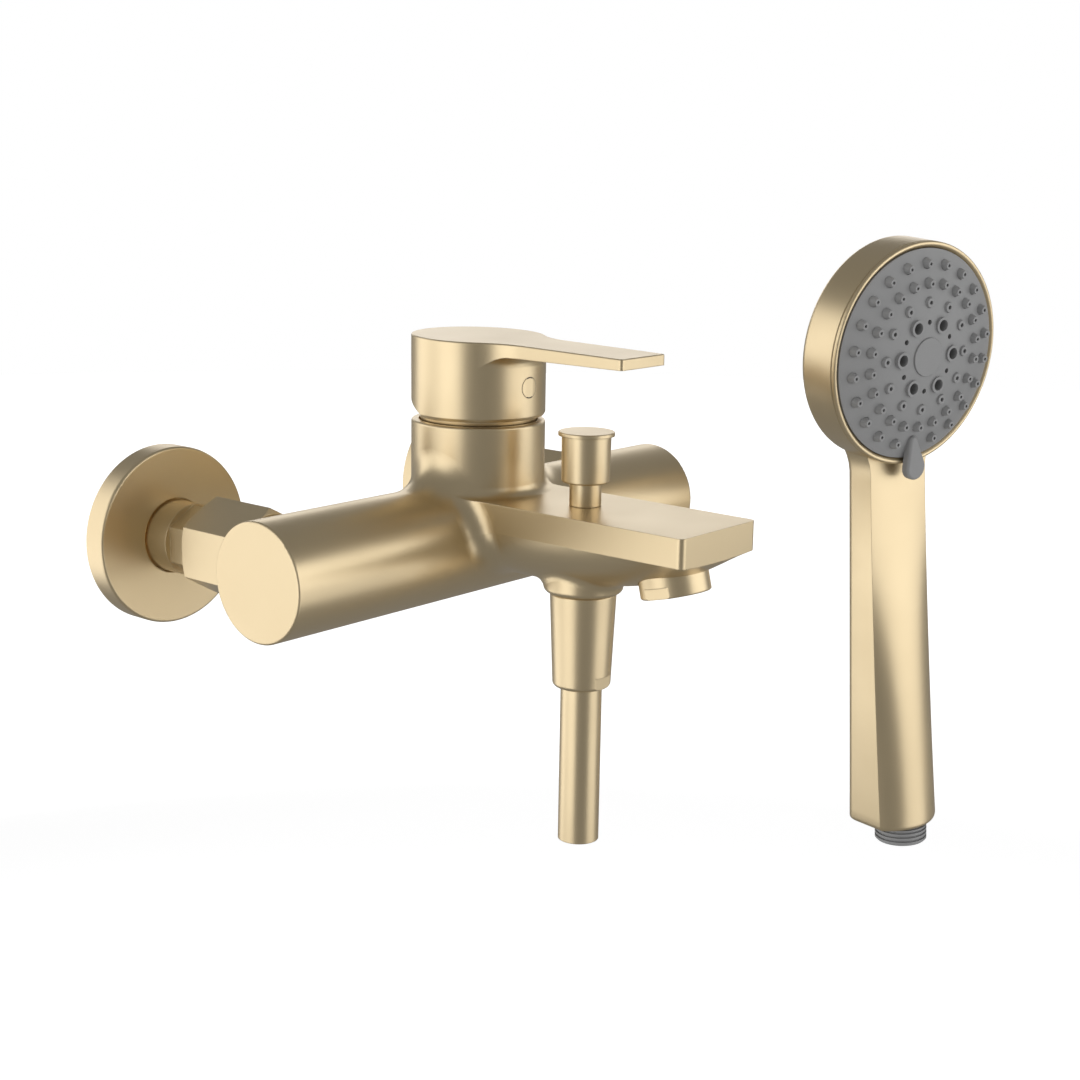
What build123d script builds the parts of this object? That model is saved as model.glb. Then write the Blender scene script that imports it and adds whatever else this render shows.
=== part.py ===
from build123d import *
from math import acos, atan2, cos, degrees, hypot, pi, radians, sin, sqrt, tan
import os

# Wall-mounted single-lever bath mixer with a pull-up diverter and a hand shower.
# Millimetres. X runs along the body, +Y into the wall, +Z up. The wall surface is y = 0,
# and the origin lies on it behind the middle of the body.

os.makedirs("parts", exist_ok=True)

# Wall connections
inlet_spacing = 150.0
g_half_dia = 20.955
g_half_pitch_dia = 19.8
g_three_quarter_pitch_dia = 25.28
thread_clearance = 0.05
wall_thread_length = 18.0
wall_thread_chamfer = 1.2
eccentric_offset = 6.0
eccentric_thickness = 5.0
eccentric_shoulder = 0.8
eccentric_rim = 3.0
union_tube_dia = 24.8
union_tube_end = 18.7
union_hex_af = 20.8
hex_turn = 30.0
union_hex_length = 12.3
union_bore = 14.0
union_thread_length = 15.0
rosette_dia = 61.2
rosette_depth = 8.4
rosette_wall = 1.6
rosette_hole_clearance = 0.6
rosette_edge = 0.9
nut_af = 29.0
nut_length = 28.6
nut_gap = 1.1
nut_overlap = 2.2
nut_rim_dia = 29.6
nut_chamfer_rise = 2.2
nut_chamfer_run = 1.3
washer_thickness = 2.0
tail_dia = 20.4
tail_flange_dia = 24.4
tail_flange_thickness = 3.0
tail_bore = 14.0
nut_bore_clearance = 0.2
strainer_depth = 5.0
strainer_wall = 0.8

# Cast body
body_projection = 80.5
body_dia = 39.0
body_length = 202.0
body_edge = 0.8
collar_dia = 46.2
collar_top = 40.7
collar_edge = 0.9
belly_sphere_z = 6.0
collar_blend = 13.0
spout_blend = 7.5
cove_radius = 3.5
seam_tolerance = 0.04
cut_overrun = 2.0
waterway_dia = 14.0
waterway_gap = 10.0
waterway_end_wall = 17.0
inlet_port_dia = 6.8
inlet_port_x = 7.6
inlet_port_y = 5.0
mixed_port_y = -9.5
mixed_port_dia = 6.8
mixed_channel_dia = 7.2
mixed_channel_z = 4.0
mixed_channel_overrun = 1.2

# Spout
spout_top = 16.9
spout_side = 9.6
spout_projection = 182.75
spout_tip_half_width = 20.1
spout_root_half_width = 20.4
spout_belly_start = 19.5
spout_root_reach = 29.5
spout_corner = 2.0
spout_fullness = 0.8
spout_belly_depth = 17.4
spout_belly_power = 2.8
spout_lip = 0.6
spout_channel_width = 15.0
spout_channel_height = 3.2

# Diverter and shower outlet
diverter_reach = 48.0
boss_dia = 26.8
boss_bottom = -12.4
boss_edge = 2.0
boss_blend = 5.0
outlet_engagement = 8.0
chamber_dia = 16.4
chamber_top = 15.2
diverter_travel = 8.0
diverter_rod_dia = 5.0
diverter_disc_dia = 13.2
diverter_disc_thickness = 1.6
diverter_seal_dia = 14.0
diverter_seal_thickness = 1.4
seat_gap = 0.1
running_clearance = 0.06
bush_seat_thickness = 1.2
bush_window_height = 2.8
bush_window_width = 7.0
bush_seat_bore = 10.4
bush_clearance = 0.1
rod_ring_section = 1.2
knob_disc_dia = 18.7
knob_disc_thickness = 1.3
knob_top = 41.65
knob_barrel_dia = 16.4
knob_barrel_foot_dia = 16.0
knob_barrel_bottom = 24.8
knob_stem_dia = 10.6
knob_lift_gap = 0.1
knob_rod_depth = 9.0

# Shower outlet, hose nut and hose
nipple_length = 11.6
nipple_bore = 10.0
check_valve_dia = 15.0
check_valve_length = 15.0
check_valve_wall = 1.9
check_valve_inset = 1.0
hose_nut_top_dia = 22.4
hose_nut_bottom_dia = 19.6
hose_nut_bottom = -45.2
hose_nut_gap = 0.2
hose_nut_edge = 1.6
hose_nut_flat = 9.1
hose_nut_flat_height = 4.6
hose_washer_dia = 18.6
hose_washer_bore = 10.0
ferrule_flange_thickness = 2.5
ferrule_collar_dia = 14.8
ferrule_collar_length = 2.5
ferrule_tube_length = 14.0
hose_dia = 14.0
hose_bore = 9.4
hose_end = -100.0
hose_clearance = 0.3

# Aerator
aerator_reach = 86.2
aerator_bottom = -6.7
aerator_tilt = 14.0
aerator_dia = 23.0
aerator_skirt = 8.0
aerator_thread_dia = 19.8
aerator_thread_length = 5.0
aerator_wall = 1.3
aerator_recess_gap = 0.2
aerator_flat = 10.6
aerator_flat_height = 3.6
aerator_flat_turn = 177.0
aerator_insert_height = 9.0
aerator_mesh_gap = 2.4
aerator_mesh_hole = 1.7
aerator_washer_thickness = 1.2

# Cartridge, seat to spindle
cartridge_seat = 13.0
cartridge_dia = 34.8
cartridge_clearance = 0.15
cartridge_shoulder = 34.0
cartridge_neck_dia = 26.8
cartridge_neck_top = 40.5
cartridge_wall = 2.4
base_gap = 0.3
base_thickness = 4.0
disc_thickness = 3.0
disc_gap = 0.05
port_seal_section = 1.6
port_seal_bar = 1.4
moving_disc_dia = 20.6
carrier_thickness = 6.1
carrier_recess_floor = 0.25
sleeve_flange_thickness = 2.2
sleeve_flange_gap = 0.3
sleeve_dia = 18.8
sleeve_above_pivot = 2.3
pivot_height = 45.0
pin_dia = 3.0
pin_end_gap = 0.2
spindle_square = 8.6
spindle_slot_gap = 0.15
spindle_neck_dia = 4.8
spindle_neck_gap = 0.4
spindle_ball_dia = 7.0
spindle_ball_gap = 0.25
spindle_ball_height = 27.2
spindle_square_drop = 3.5
spindle_swing_room = 1.8
spindle_top = 59.8
clamp_nut_clearance = 0.1
clamp_thread_dia = 37.8
clamp_nut_height = 4.4
clamp_hex_af = 29.0
clamp_hex_height = 3.6
dome_radius = 20.35
dome_wall = 1.35
dome_foot = 38.9
dome_top = 52.5
dome_opening = 28.0
dome_recess_gap = 0.5

# Lever handle
lever_tilt = 22.0
handle_dia = 46.2
handle_bottom = 42.5
handle_wall = 2.3
handle_ceiling = 60.5
handle_top = 69.46
handle_top_slope = 1.1
handle_reach = 70.7
blade_tip_half_width = 11.5
blade_root_half_width = 12.4
blade_thickness = 3.6
blade_web = 22.0
blade_root = 1.0
blade_root_fillet = 4.0
blade_corner = 1.2
handle_edge = 0.5
handle_lip = 1.0
skirt_cut_start = 4.0
skirt_cut_angle = 22.5
socket_dia = 19.0
socket_bottom = 50.7
socket_gap = 0.05
screw_dia = 4.0
screw_length = 5.0
plug_height = 53.45
plug_dia = 7.0
plug_thickness = 2.6
plug_gap = 0.05

# Hand shower: where it stands in the photograph, and how it is turned
head_centre = Vector(164.7947, -158.3587, 56.2547)
head_right = Vector(0.96491388, -0.25732792, 0.05218757)
head_up = Vector(-0.06969883, -0.05939929, 0.99579807)
head_dia = 86.8
head_depth = 18.9
head_back_edge = 3.0
head_front = 1.9
head_cavity_dia = 82.0
head_cavity_depth = 14.9
rim_inner_dia = 81.7
rim_thickness = 1.6
rim_edge = 0.5
face_dia = 81.5
face_back = 2.6
face_edge = 0.4
face_dome = 5.9
nozzle_clearance = 0.05
nozzle_base_dia = 4.2
nozzle_height = 2.4
nozzle_tip_dia = 2.8
mat_dia = 75.0
mat_clearance = 0.1
mat_thickness = 1.2
mat_centre_dia = 20.4
jet_radius = 13.4
jet_count = 6
jet_dia = 4.4
jet_lip_dia = 6.4
jet_lip_height = 1.0
pin_hole_dia = 2.0
cap_dia = 15.0
cap_depth = 2.2
cap_clearance = 0.05
tab_root = (-1.0, -33.5)
tab_root_dia = 3.7
tab_end = (1.4, -44.8)
tab_end_dia = 9.8
tab_lift = 0.4
tab_proud = 3.6
tab_edge = 1.2
tab_clearance = 0.3
selector_swing = 30.0
body_back = 8.6
body_flange = 1.0
body_front_edge = 5.2
body_flange_dia = 81.2
body_neck_dia = 77.0
body_chamber_depth = 6.9
body_joint = 0.1
face_ring_radius = 39.6
face_ring_section = 1.05
hub_dia = 13.0
hub_front = 5.3
hub_clearance = 0.1
hub_wall_dia = 20.0
plate_front = 10.5
plate_dia = 81.4
plate_channel_width = 8.0
plate_channel_floor = 12.1
port_reach = 16.0
port_dia = 6.0
port_seal_dia = 9.0
port_seal_depth = 0.9
port_seal_gap = 0.1
face_screw_dia = 4.0
face_screw_clearance = 0.06
face_screw_head_dia = 8.0
face_screw_head = 2.6
face_screw_seat = -0.9
face_screw_tip = 11.5
detent_reach = 30.0
detent_turn = 40.0
detent_ball_dia = 3.0
detent_ball_depth = 9.2
detent_groove_dia = 3.5
detent_pocket_dia = 3.2
detent_pocket_floor = 14.0
detent_spring_dia = 2.9
detent_spring_wire = 0.45
detent_spring_turns = 4
grip_axis_depth = 9.4
grip_axis_slope = 0.1058
grip_half_width = 15.0
grip_back = 12.0
grip_crease = 0.5
grip_back_edge = 4.0
grip_bulge = 14.4
grip_bulge_start = 46.0
grip_bulge_length = 150.0
grip_bulge_power = 1.1
grip_flat_bulge = 0.4
grip_flare = 9.0
grip_flare_end = 58.0
grip_top = 34.0
grip_end = 194.0
grip_end_edge = 2.0
tube_top = (36.0, 6.4)
tube_foot = (171.0, -1.0)
tube_dia = 9.2
tube_bore = 7.2
tube_clearance = 0.1
connector_top = 171.5
connector_plug_dia = 19.0
connector_bore = 14.8
connector_bore_depth = 20.0
connector_reach = 200.7
connector_edge = 0.6
connector_ridge_depth = 0.8
connector_ridge_pitch = 1.8
connector_ridges = 3
strainer_inset = 4.0
strainer_thickness = 1.2

# Spray rings: radius, number, turn of the first, height over the face, hole
nozzle_rings = [
    (35.3, 21, -90 + 360 / 22, 22, nozzle_height, 1.2),
    (28.0, 22, -90, 22, nozzle_height, 1.2),
    (20.85, 12, -90, 12, 1.0, 1.6),
]

# Worked out from the sizes above
body_y = -body_projection
body_r = body_dia / 2
collar_r = collar_dia / 2
spout_edge_z = spout_top - spout_side
spout_tip_y = -spout_projection
spout_root_y = body_y - spout_root_reach
diverter_y = body_y - diverter_reach
aerator_y = body_y - aerator_reach
inlet_x = inlet_spacing / 2
side_names = {-1: "left", 1: "right"}
body_axis = Axis((0, body_y, 0), (0, 0, 1))
diverter_axis = Axis((0, diverter_y, 0), (0, 0, 1))
body_front_plane = Plane.XZ.offset(body_projection)
diverter_plane = Plane.XZ.offset(-diverter_y)


def write(piece, name):
    piece.part.label = name
    export_step(piece.part, f"parts/{name}.step")


def outline(*points):
    """Adds a closed straight-sided face to the sketch in hand."""
    Polygon(*points, align=None)


def ring(outer, inner, low, high):
    """Half section of a plain ring, given by its diameters and its two ends."""
    outline((inner / 2, low), (outer / 2, low), (outer / 2, high), (inner / 2, high))


# Wall connections, one set on each side
union_front = union_tube_end + union_hex_length + union_thread_length
nut_back = union_tube_end + nut_gap + union_hex_length - nut_overlap
flange_back = union_front + washer_thickness
flange_front = flange_back + tail_flange_thickness
nut_shoulder = flange_front + nut_bore_clearance
nut_front = nut_back + nut_length
rosette_hole = union_tube_dia + 2 * rosette_hole_clearance

for side, side_name in side_names.items():
    inlet = Axis((side * inlet_x, 0, 0), (0, 1, 0))
    wall_plane = Plane(origin=(side * inlet_x, 0, 0), x_dir=(1, 0, 0), z_dir=(0, 0, 1))
    facing_out = Plane(origin=(side * inlet_x, 0, 0), x_dir=(1, 0, 0), z_dir=(0, -1, 0))

    with BuildPart() as s_union:
        with BuildSketch(facing_out.offset(-wall_thread_length)):
            with Locations((0, -eccentric_offset)):
                Circle(g_half_dia / 2)
        extrude(amount=wall_thread_length)
        with BuildSketch(facing_out):
            with Locations((0, -eccentric_offset)):
                Circle(g_half_dia / 2 + eccentric_shoulder)
            Circle(union_tube_dia / 2 + eccentric_rim)
            make_hull()
        extrude(amount=eccentric_thickness)
        with BuildSketch(facing_out):
            Circle(union_tube_dia / 2)
        extrude(amount=union_tube_end)
        with BuildSketch(facing_out.offset(union_tube_end)):
            Circle(union_tube_dia / 2)
            RegularPolygon(union_hex_af / 2, 6, major_radius=False, rotation=hex_turn, mode=Mode.INTERSECT)
        extrude(amount=union_hex_length)
        with BuildSketch(facing_out.offset(union_tube_end + union_hex_length)):
            Circle(g_three_quarter_pitch_dia / 2)
        extrude(amount=union_thread_length)
        with BuildSketch(facing_out.offset(eccentric_thickness)):
            Circle(union_bore / 2)
        extrude(amount=union_front, mode=Mode.SUBTRACT)
        with BuildSketch(facing_out.offset(eccentric_thickness + union_bore / 4)):
            with Locations((0, -eccentric_offset)):
                Circle(union_bore / 2 - 0.5)
        extrude(amount=-(wall_thread_length + 2 * eccentric_thickness), mode=Mode.SUBTRACT)
        chamfer(s_union.edges().group_by(Axis.Y)[-1].sort_by(SortBy.RADIUS)[-1], wall_thread_chamfer)
    write(s_union, f"s_union_{side_name}")

    with BuildPart() as rosette:
        with BuildSketch(wall_plane):
            outline(
                (rosette_hole / 2, -rosette_depth),
                (rosette_dia / 2, -rosette_depth),
                (rosette_dia / 2, 0),
                (rosette_dia / 2 - rosette_wall, 0),
                (rosette_dia / 2 - rosette_wall, rosette_wall - rosette_depth),
                (rosette_hole / 2, rosette_wall - rosette_depth),
            )
        revolve(axis=inlet)
        fillet(rosette.edges().group_by(Axis.Y)[0].sort_by(SortBy.RADIUS)[-1], rosette_edge)
    write(rosette, f"rosette_{side_name}")

    with BuildPart() as union_nut:
        with BuildSketch(facing_out.offset(nut_back)):
            RegularPolygon(nut_af / 2, 6, major_radius=False, rotation=hex_turn)
        extrude(amount=nut_length)
        with BuildSketch(wall_plane):
            outline(
                (0, -nut_back),
                (nut_rim_dia / 2, -nut_back),
                (nut_rim_dia / 2 + nut_chamfer_rise, -nut_back - nut_chamfer_run),
                (nut_rim_dia / 2 + nut_chamfer_rise, -nut_front + nut_chamfer_run),
                (nut_rim_dia / 2, -nut_front),
                (0, -nut_front),
            )
        revolve(axis=inlet, mode=Mode.INTERSECT)
        with BuildSketch(wall_plane):
            outline(
                (0, -nut_back),
                (g_three_quarter_pitch_dia / 2 + thread_clearance, -nut_back),
                (g_three_quarter_pitch_dia / 2 + thread_clearance, -nut_shoulder),
                (tail_dia / 2 + nut_bore_clearance, -nut_shoulder),
                (tail_dia / 2 + nut_bore_clearance, -nut_front),
                (0, -nut_front),
            )
        revolve(axis=inlet, mode=Mode.SUBTRACT)
    write(union_nut, f"union_nut_{side_name}")

    with BuildPart() as inlet_washer:
        with BuildSketch(wall_plane):
            ring(tail_flange_dia, union_bore + 2 * strainer_wall, -flange_back, -union_front)
        revolve(axis=inlet)
    write(inlet_washer, f"inlet_washer_{side_name}")

    with BuildPart() as strainer:
        with BuildSketch(wall_plane):
            outline(
                (0, strainer_depth - union_front),
                (union_bore / 2 - running_clearance, strainer_depth - union_front),
                (union_bore / 2 - running_clearance, -union_front - washer_thickness / 2),
                (union_bore / 2 - strainer_wall, -union_front - washer_thickness / 2),
                (union_bore / 2 - strainer_wall, strainer_depth - union_front - strainer_wall),
                (0, strainer_depth - union_front - strainer_wall),
            )
        revolve(axis=inlet)
        with BuildSketch(facing_out):
            with GridLocations(2.4, 2.4, 4, 4):
                Rectangle(1.5, 1.5)
        extrude(amount=2 * union_front, mode=Mode.SUBTRACT)
    write(strainer, f"inlet_strainer_{side_name}")


# Cast body: barrel, collar, spout and outlet boss in one piece, with concave blends
def spout_half_width(y):
    share = min(max((spout_root_y - y) / (spout_root_y - spout_tip_y), 0), 1)
    return spout_root_half_width + (spout_tip_half_width - spout_root_half_width) * share


def belly_depth(y):
    start = body_y - spout_belly_start
    share = max((start - y) / (start - spout_tip_y + spout_lip), 0)
    return spout_belly_depth * (1 - share**spout_belly_power) ** spout_fullness


def spout_section(y):
    half_width = spout_half_width(y)
    with BuildSketch(Plane.XZ.offset(-y)) as section:
        with BuildLine():
            Polyline(
                (-half_width, spout_edge_z),
                (-half_width, spout_top),
                (half_width, spout_top),
                (half_width, spout_edge_z),
            )
            ThreePointArc(
                (half_width, spout_edge_z),
                (0, spout_edge_z - belly_depth(y)),
                (-half_width, spout_edge_z),
            )
        make_face()
    return section.sketch


def points_along(edge):
    return [edge.position_at(share) for share in (0.02, 0.25, 0.5, 0.75, 0.98)]


def leaves_barrel(edge):
    """Picks the seam where the collar rises out of the barrel."""
    return edge.geom_type != GeomType.LINE and all(
        abs(hypot(point.Y - body_y, point.Z) - body_r) < seam_tolerance and abs(point.X) < inlet_x
        for point in points_along(edge)
    )


root_belly = belly_depth(spout_root_y)
root_belly_r = (spout_root_half_width**2 + root_belly**2) / (2 * root_belly)
root_belly_z = spout_edge_z - root_belly + root_belly_r


def off_spout(point):
    """How far a point lies outside the spout's root shape: its flat sides, and the belly below them."""
    if point.Z >= spout_edge_z:
        return abs(point.X) - spout_root_half_width
    return hypot(point.X, point.Z - root_belly_z) - root_belly_r


def leaves_body(edge):
    """Picks the seam where the spout's sides and belly come out of the barrel and the collar."""
    return edge.geom_type != GeomType.LINE and all(
        abs(off_spout(point)) < seam_tolerance
        and spout_root_y + seam_tolerance < point.Y < body_y - spout_root_half_width / 2
        for point in points_along(edge)
    )


def on_spout_top(edge):
    """Picks the edges of the spout's flat top beside the collar."""
    return edge.geom_type != GeomType.LINE and all(
        abs(point.Z - spout_top) < seam_tolerance
        and spout_root_y < point.Y < body_y - spout_root_half_width / 4
        for point in points_along(edge)
    )


def meets_collar(edge):
    """Picks the inner ones of those edges, from which the collar rises."""
    middle = edge.position_at(0.5)
    outer = abs(middle.X) > spout_root_half_width and middle.Y < body_y - 0.6 * collar_r
    return on_spout_top(edge) and not outer


spout_stations = [spout_root_y]
for reach in (8, 18, 28, 38, 48, 56, 63, 68, 71.3, 72.75):
    spout_stations.append(spout_root_y - reach * (spout_root_y - spout_tip_y) / 72.75)

boss_r = boss_dia / 2
outlet_top = boss_bottom + outlet_engagement
aerator_up = Vector(0, sin(radians(aerator_tilt)), cos(radians(aerator_tilt)))
aerator_foot = Vector(0, aerator_y, aerator_bottom)
aerator_plane = Plane(origin=aerator_foot, x_dir=(1, 0, 0), z_dir=-aerator_up)
aerator_side = Plane(origin=aerator_foot, x_dir=aerator_up.cross(Vector(1, 0, 0)), z_dir=(1, 0, 0))
aerator_axis = Axis(aerator_foot, aerator_up)
aerator_thread_top = aerator_skirt + aerator_thread_length
channel_bottom = chamber_top - bush_seat_thickness - bush_window_height - 1.9

with BuildPart() as mixer_body:
    with BuildSketch(Plane.YZ.offset(-body_length / 2)):
        with Locations((body_y, 0)):
            Circle(body_r)
    extrude(amount=body_length)
    fillet(mixer_body.edges().filter_by(GeomType.CIRCLE), body_edge)
    with BuildSketch(body_front_plane):
        with BuildLine():
            Polyline((0, collar_top), (collar_r, collar_top), (collar_r, belly_sphere_z))
            CenterArc((0, belly_sphere_z), collar_r, 0, -90)
            Line((0, belly_sphere_z - collar_r), (0, collar_top))
        make_face()
    revolve(axis=body_axis)
    fillet(mixer_body.edges().group_by(Axis.Z)[-1], collar_edge)
    fillet(mixer_body.edges().filter_by(leaves_barrel), collar_blend)
    add(extrude(spout_section(spout_root_y), spout_root_y - body_y, mode=Mode.PRIVATE))
    add(loft([spout_section(y) for y in spout_stations], mode=Mode.PRIVATE))
    fillet(mixer_body.edges().filter_by(leaves_body), spout_blend)
    fillet(mixer_body.edges().filter_by(meets_collar), cove_radius)
    tip_corners = mixer_body.edges().filter_by(
        lambda edge: edge.center().Y < spout_tip_y + 0.1 and abs(edge.center().X) > spout_tip_half_width - 0.1
    )
    fillet(tip_corners, spout_corner)

    # Outlet boss under the spout
    with BuildSketch(diverter_plane):
        with BuildLine():
            Polyline((0, boss_bottom), (0, chamber_top), (boss_r, chamber_top), (boss_r, boss_bottom + boss_edge))
            CenterArc((boss_r - boss_edge, boss_bottom + boss_edge), boss_edge, 0, -90)
            Line((boss_r - boss_edge, boss_bottom), (0, boss_bottom))
        make_face()
    revolve(axis=diverter_axis)
    boss_seam = mixer_body.edges().filter_by(
        lambda edge: edge.geom_type not in (GeomType.LINE, GeomType.CIRCLE)
        and all(
            abs(hypot(point.X, point.Y - diverter_y) - boss_r) < seam_tolerance
            and boss_bottom + seam_tolerance < point.Z
            for point in points_along(edge)
        )
    )
    fillet(boss_seam, boss_blend)

    # Inlet tails, on which the union nuts turn
    for side in side_names:
        inlet = Axis((side * inlet_x, 0, 0), (0, 1, 0))
        with BuildSketch(Plane(origin=(side * inlet_x, 0, 0))):
            outline(
                (0, -flange_back),
                (tail_flange_dia / 2, -flange_back),
                (tail_flange_dia / 2, -flange_front),
                (tail_dia / 2, -flange_front),
                (tail_dia / 2, body_y),
                (0, body_y),
            )
        revolve(axis=inlet)

    # Waterways: tails, barrel, ports up to the cartridge, and the channel to the diverter
    for side in side_names:
        with BuildSketch(Plane.XZ.offset(flange_back)):
            with Locations((side * inlet_x, 0)):
                Circle(tail_bore / 2)
        extrude(amount=body_projection - flange_back, mode=Mode.SUBTRACT)
        with BuildSketch(Plane.YZ.offset(side * waterway_gap / 2)):
            with Locations((body_y, 0)):
                Circle(waterway_dia / 2)
        barrel_water = body_length / 2 - waterway_end_wall - waterway_gap / 2
        extrude(amount=side * barrel_water, mode=Mode.SUBTRACT)
        with BuildSketch(Plane.XY):
            with Locations((side * inlet_port_x, body_y + inlet_port_y)):
                Circle(inlet_port_dia / 2)
        extrude(amount=cartridge_seat, mode=Mode.SUBTRACT)
    with BuildSketch(Plane.XY.offset(mixed_channel_z)):
        with Locations((0, body_y + mixed_port_y)):
            Circle(mixed_port_dia / 2)
    extrude(amount=cartridge_seat - mixed_channel_z, mode=Mode.SUBTRACT)
    channel_back = mixed_port_y + mixed_port_dia / 2 + mixed_channel_overrun
    with BuildSketch(Plane.XZ.offset(-body_y - channel_back)):
        with Locations((0, mixed_channel_z)):
            Circle(mixed_channel_dia / 2)
    extrude(amount=diverter_reach + channel_back, mode=Mode.SUBTRACT)

    # Cartridge pocket, clamp thread and the dome's recess
    with BuildSketch(body_front_plane):
        outline(
            (0, cartridge_seat),
            (cartridge_dia / 2 + cartridge_clearance, cartridge_seat),
            (cartridge_dia / 2 + cartridge_clearance, cartridge_shoulder),
            (clamp_thread_dia / 2, cartridge_shoulder),
            (clamp_thread_dia / 2, dome_foot),
            (dome_radius + dome_recess_gap / 2, dome_foot),
            (dome_radius + dome_recess_gap / 2, collar_top),
            (0, collar_top),
        )
    revolve(axis=body_axis, mode=Mode.SUBTRACT)

    # Diverter chamber, rod hole, outlet thread and the slot to the aerator
    with BuildSketch(diverter_plane):
        outline(
            (0, boss_bottom - cut_overrun),
            (g_half_pitch_dia / 2 + thread_clearance, boss_bottom - cut_overrun),
            (g_half_pitch_dia / 2 + thread_clearance, outlet_top),
            (chamber_dia / 2, outlet_top),
            (chamber_dia / 2, chamber_top),
            (diverter_rod_dia / 2 + bush_clearance, chamber_top),
            (diverter_rod_dia / 2 + bush_clearance, spout_top),
            (0, spout_top),
        )
    revolve(axis=diverter_axis, mode=Mode.SUBTRACT)
    with BuildSketch(Plane.XZ.offset(-diverter_y)):
        with Locations((0, channel_bottom + spout_channel_height / 2)):
            Rectangle(spout_channel_width, spout_channel_height)
    extrude(amount=diverter_y - aerator_y, mode=Mode.SUBTRACT)
    with BuildSketch(aerator_side):
        outline(
            (0, 0),
            (aerator_dia / 2 + aerator_recess_gap, 0),
            (aerator_dia / 2 + aerator_recess_gap, aerator_skirt + aerator_recess_gap),
            (aerator_thread_dia / 2 + thread_clearance, aerator_skirt + aerator_recess_gap),
            (aerator_thread_dia / 2 + thread_clearance, aerator_thread_top + aerator_washer_thickness),
            (aerator_thread_dia / 2 - 1.5, aerator_thread_top + aerator_washer_thickness),
            (aerator_thread_dia / 2 - 1.5, aerator_thread_top + aerator_washer_thickness + 4),
            (0, aerator_thread_top + aerator_washer_thickness + 4),
        )
    revolve(axis=aerator_axis, mode=Mode.SUBTRACT)
write(mixer_body, "mixer_body")

# Cartridge
base_z = cartridge_seat + base_gap
fixed_disc_z = base_z + base_thickness
moving_disc_z = fixed_disc_z + disc_thickness + disc_gap
carrier_z = moving_disc_z + disc_thickness
sleeve_z = carrier_z + carrier_thickness + sleeve_flange_gap
cavity_top = sleeve_z + sleeve_flange_thickness + sleeve_flange_gap
cavity_r = cartridge_dia / 2 - cartridge_wall
arm_length = pivot_height - spindle_ball_height
disc_travel = arm_length * sin(radians(lever_tilt))
disc_offset = disc_travel / 2
ports = [
    (inlet_port_x, body_y + inlet_port_y),
    (-inlet_port_x, body_y + inlet_port_y),
    (0, body_y + mixed_port_y),
]



def seal_shape(grow):
    """Three rings round the ports, joined by bars into one moulded seal."""
    with Locations(*ports):
        Circle(inlet_port_dia / 2 + port_seal_section + grow)
    for start, end in zip(ports, ports[1:] + ports[:1]):
        across = Vector(*end) - Vector(*start)
        middle = (Vector(*end) + Vector(*start)) / 2
        with Locations(Location((middle.X, middle.Y, 0), (0, 0, degrees(atan2(across.Y, across.X))))):
            Rectangle(across.length, port_seal_bar + 2 * grow)


with BuildPart() as cartridge_base:
    with BuildSketch(Plane.XY.offset(base_z)):
        with Locations((0, body_y)):
            Circle(cartridge_dia / 2)
    extrude(amount=base_thickness)
    with BuildSketch(Plane.XY.offset(base_z)):
        seal_shape(port_seal_gap)
    extrude(amount=port_seal_section, mode=Mode.SUBTRACT)
    with BuildSketch(Plane.XY.offset(base_z)):
        with Locations(*ports):
            Circle(inlet_port_dia / 2)
    extrude(amount=base_thickness, mode=Mode.SUBTRACT)
write(cartridge_base, "cartridge_base")

with BuildPart() as port_seals:
    with BuildSketch(Plane.XY.offset(cartridge_seat)):
        seal_shape(0)
        with Locations(*ports):
            Circle(inlet_port_dia / 2, mode=Mode.SUBTRACT)
    extrude(amount=port_seal_section + base_gap - port_seal_gap / 2)
write(port_seals, "cartridge_port_seal")

with BuildPart() as fixed_disc:
    with BuildSketch(Plane.XY.offset(fixed_disc_z)):
        with Locations((0, body_y)):
            Circle(cavity_r - cartridge_clearance)
        with Locations(*ports):
            Circle(inlet_port_dia / 2, mode=Mode.SUBTRACT)
    extrude(amount=disc_thickness)
write(fixed_disc, "fixed_ceramic_disc")

with BuildPart() as moving_disc:
    with BuildSketch(Plane.XY.offset(moving_disc_z)):
        with Locations((0, body_y + disc_offset)):
            Circle(moving_disc_dia / 2)
    extrude(amount=disc_thickness)
    with BuildSketch(Plane.XY.offset(moving_disc_z)):
        with Locations((0, body_y + disc_offset - 3)):
            SlotOverall(11, 7)
    extrude(amount=disc_thickness / 2, mode=Mode.SUBTRACT)
write(moving_disc, "moving_ceramic_disc")

with BuildPart() as carrier:
    with BuildSketch(Plane.XY.offset(carrier_z)):
        with Locations((0, body_y + disc_offset)):
            Circle(moving_disc_dia / 2)
    extrude(amount=carrier_thickness)
    with BuildSketch(Plane.XY.offset(carrier_z + carrier_recess_floor)):
        with Locations((0, body_y)):
            Circle(spindle_ball_dia / 2 + spindle_ball_gap)
    extrude(amount=carrier_thickness, mode=Mode.SUBTRACT)
write(carrier, "disc_carrier")

with BuildPart() as housing:
    with BuildSketch(body_front_plane):
        outline(
            (cavity_r, fixed_disc_z),
            (cartridge_dia / 2, fixed_disc_z),
            (cartridge_dia / 2, cartridge_shoulder),
            (cartridge_neck_dia / 2, cartridge_shoulder),
            (cartridge_neck_dia / 2, cartridge_neck_top),
            (sleeve_dia / 2 + running_clearance, cartridge_neck_top),
            (sleeve_dia / 2 + running_clearance, cavity_top),
            (cavity_r, cavity_top),
        )
    revolve(axis=body_axis)
    with BuildSketch(Plane.XY.offset(fixed_disc_z)):
        with Locations((0, body_y)):
            with PolarLocations(cartridge_dia / 2, 3, start_angle=30):
                Rectangle(1.6, 5)
    extrude(amount=disc_thickness, mode=Mode.SUBTRACT)
write(housing, "cartridge_housing")

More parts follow.
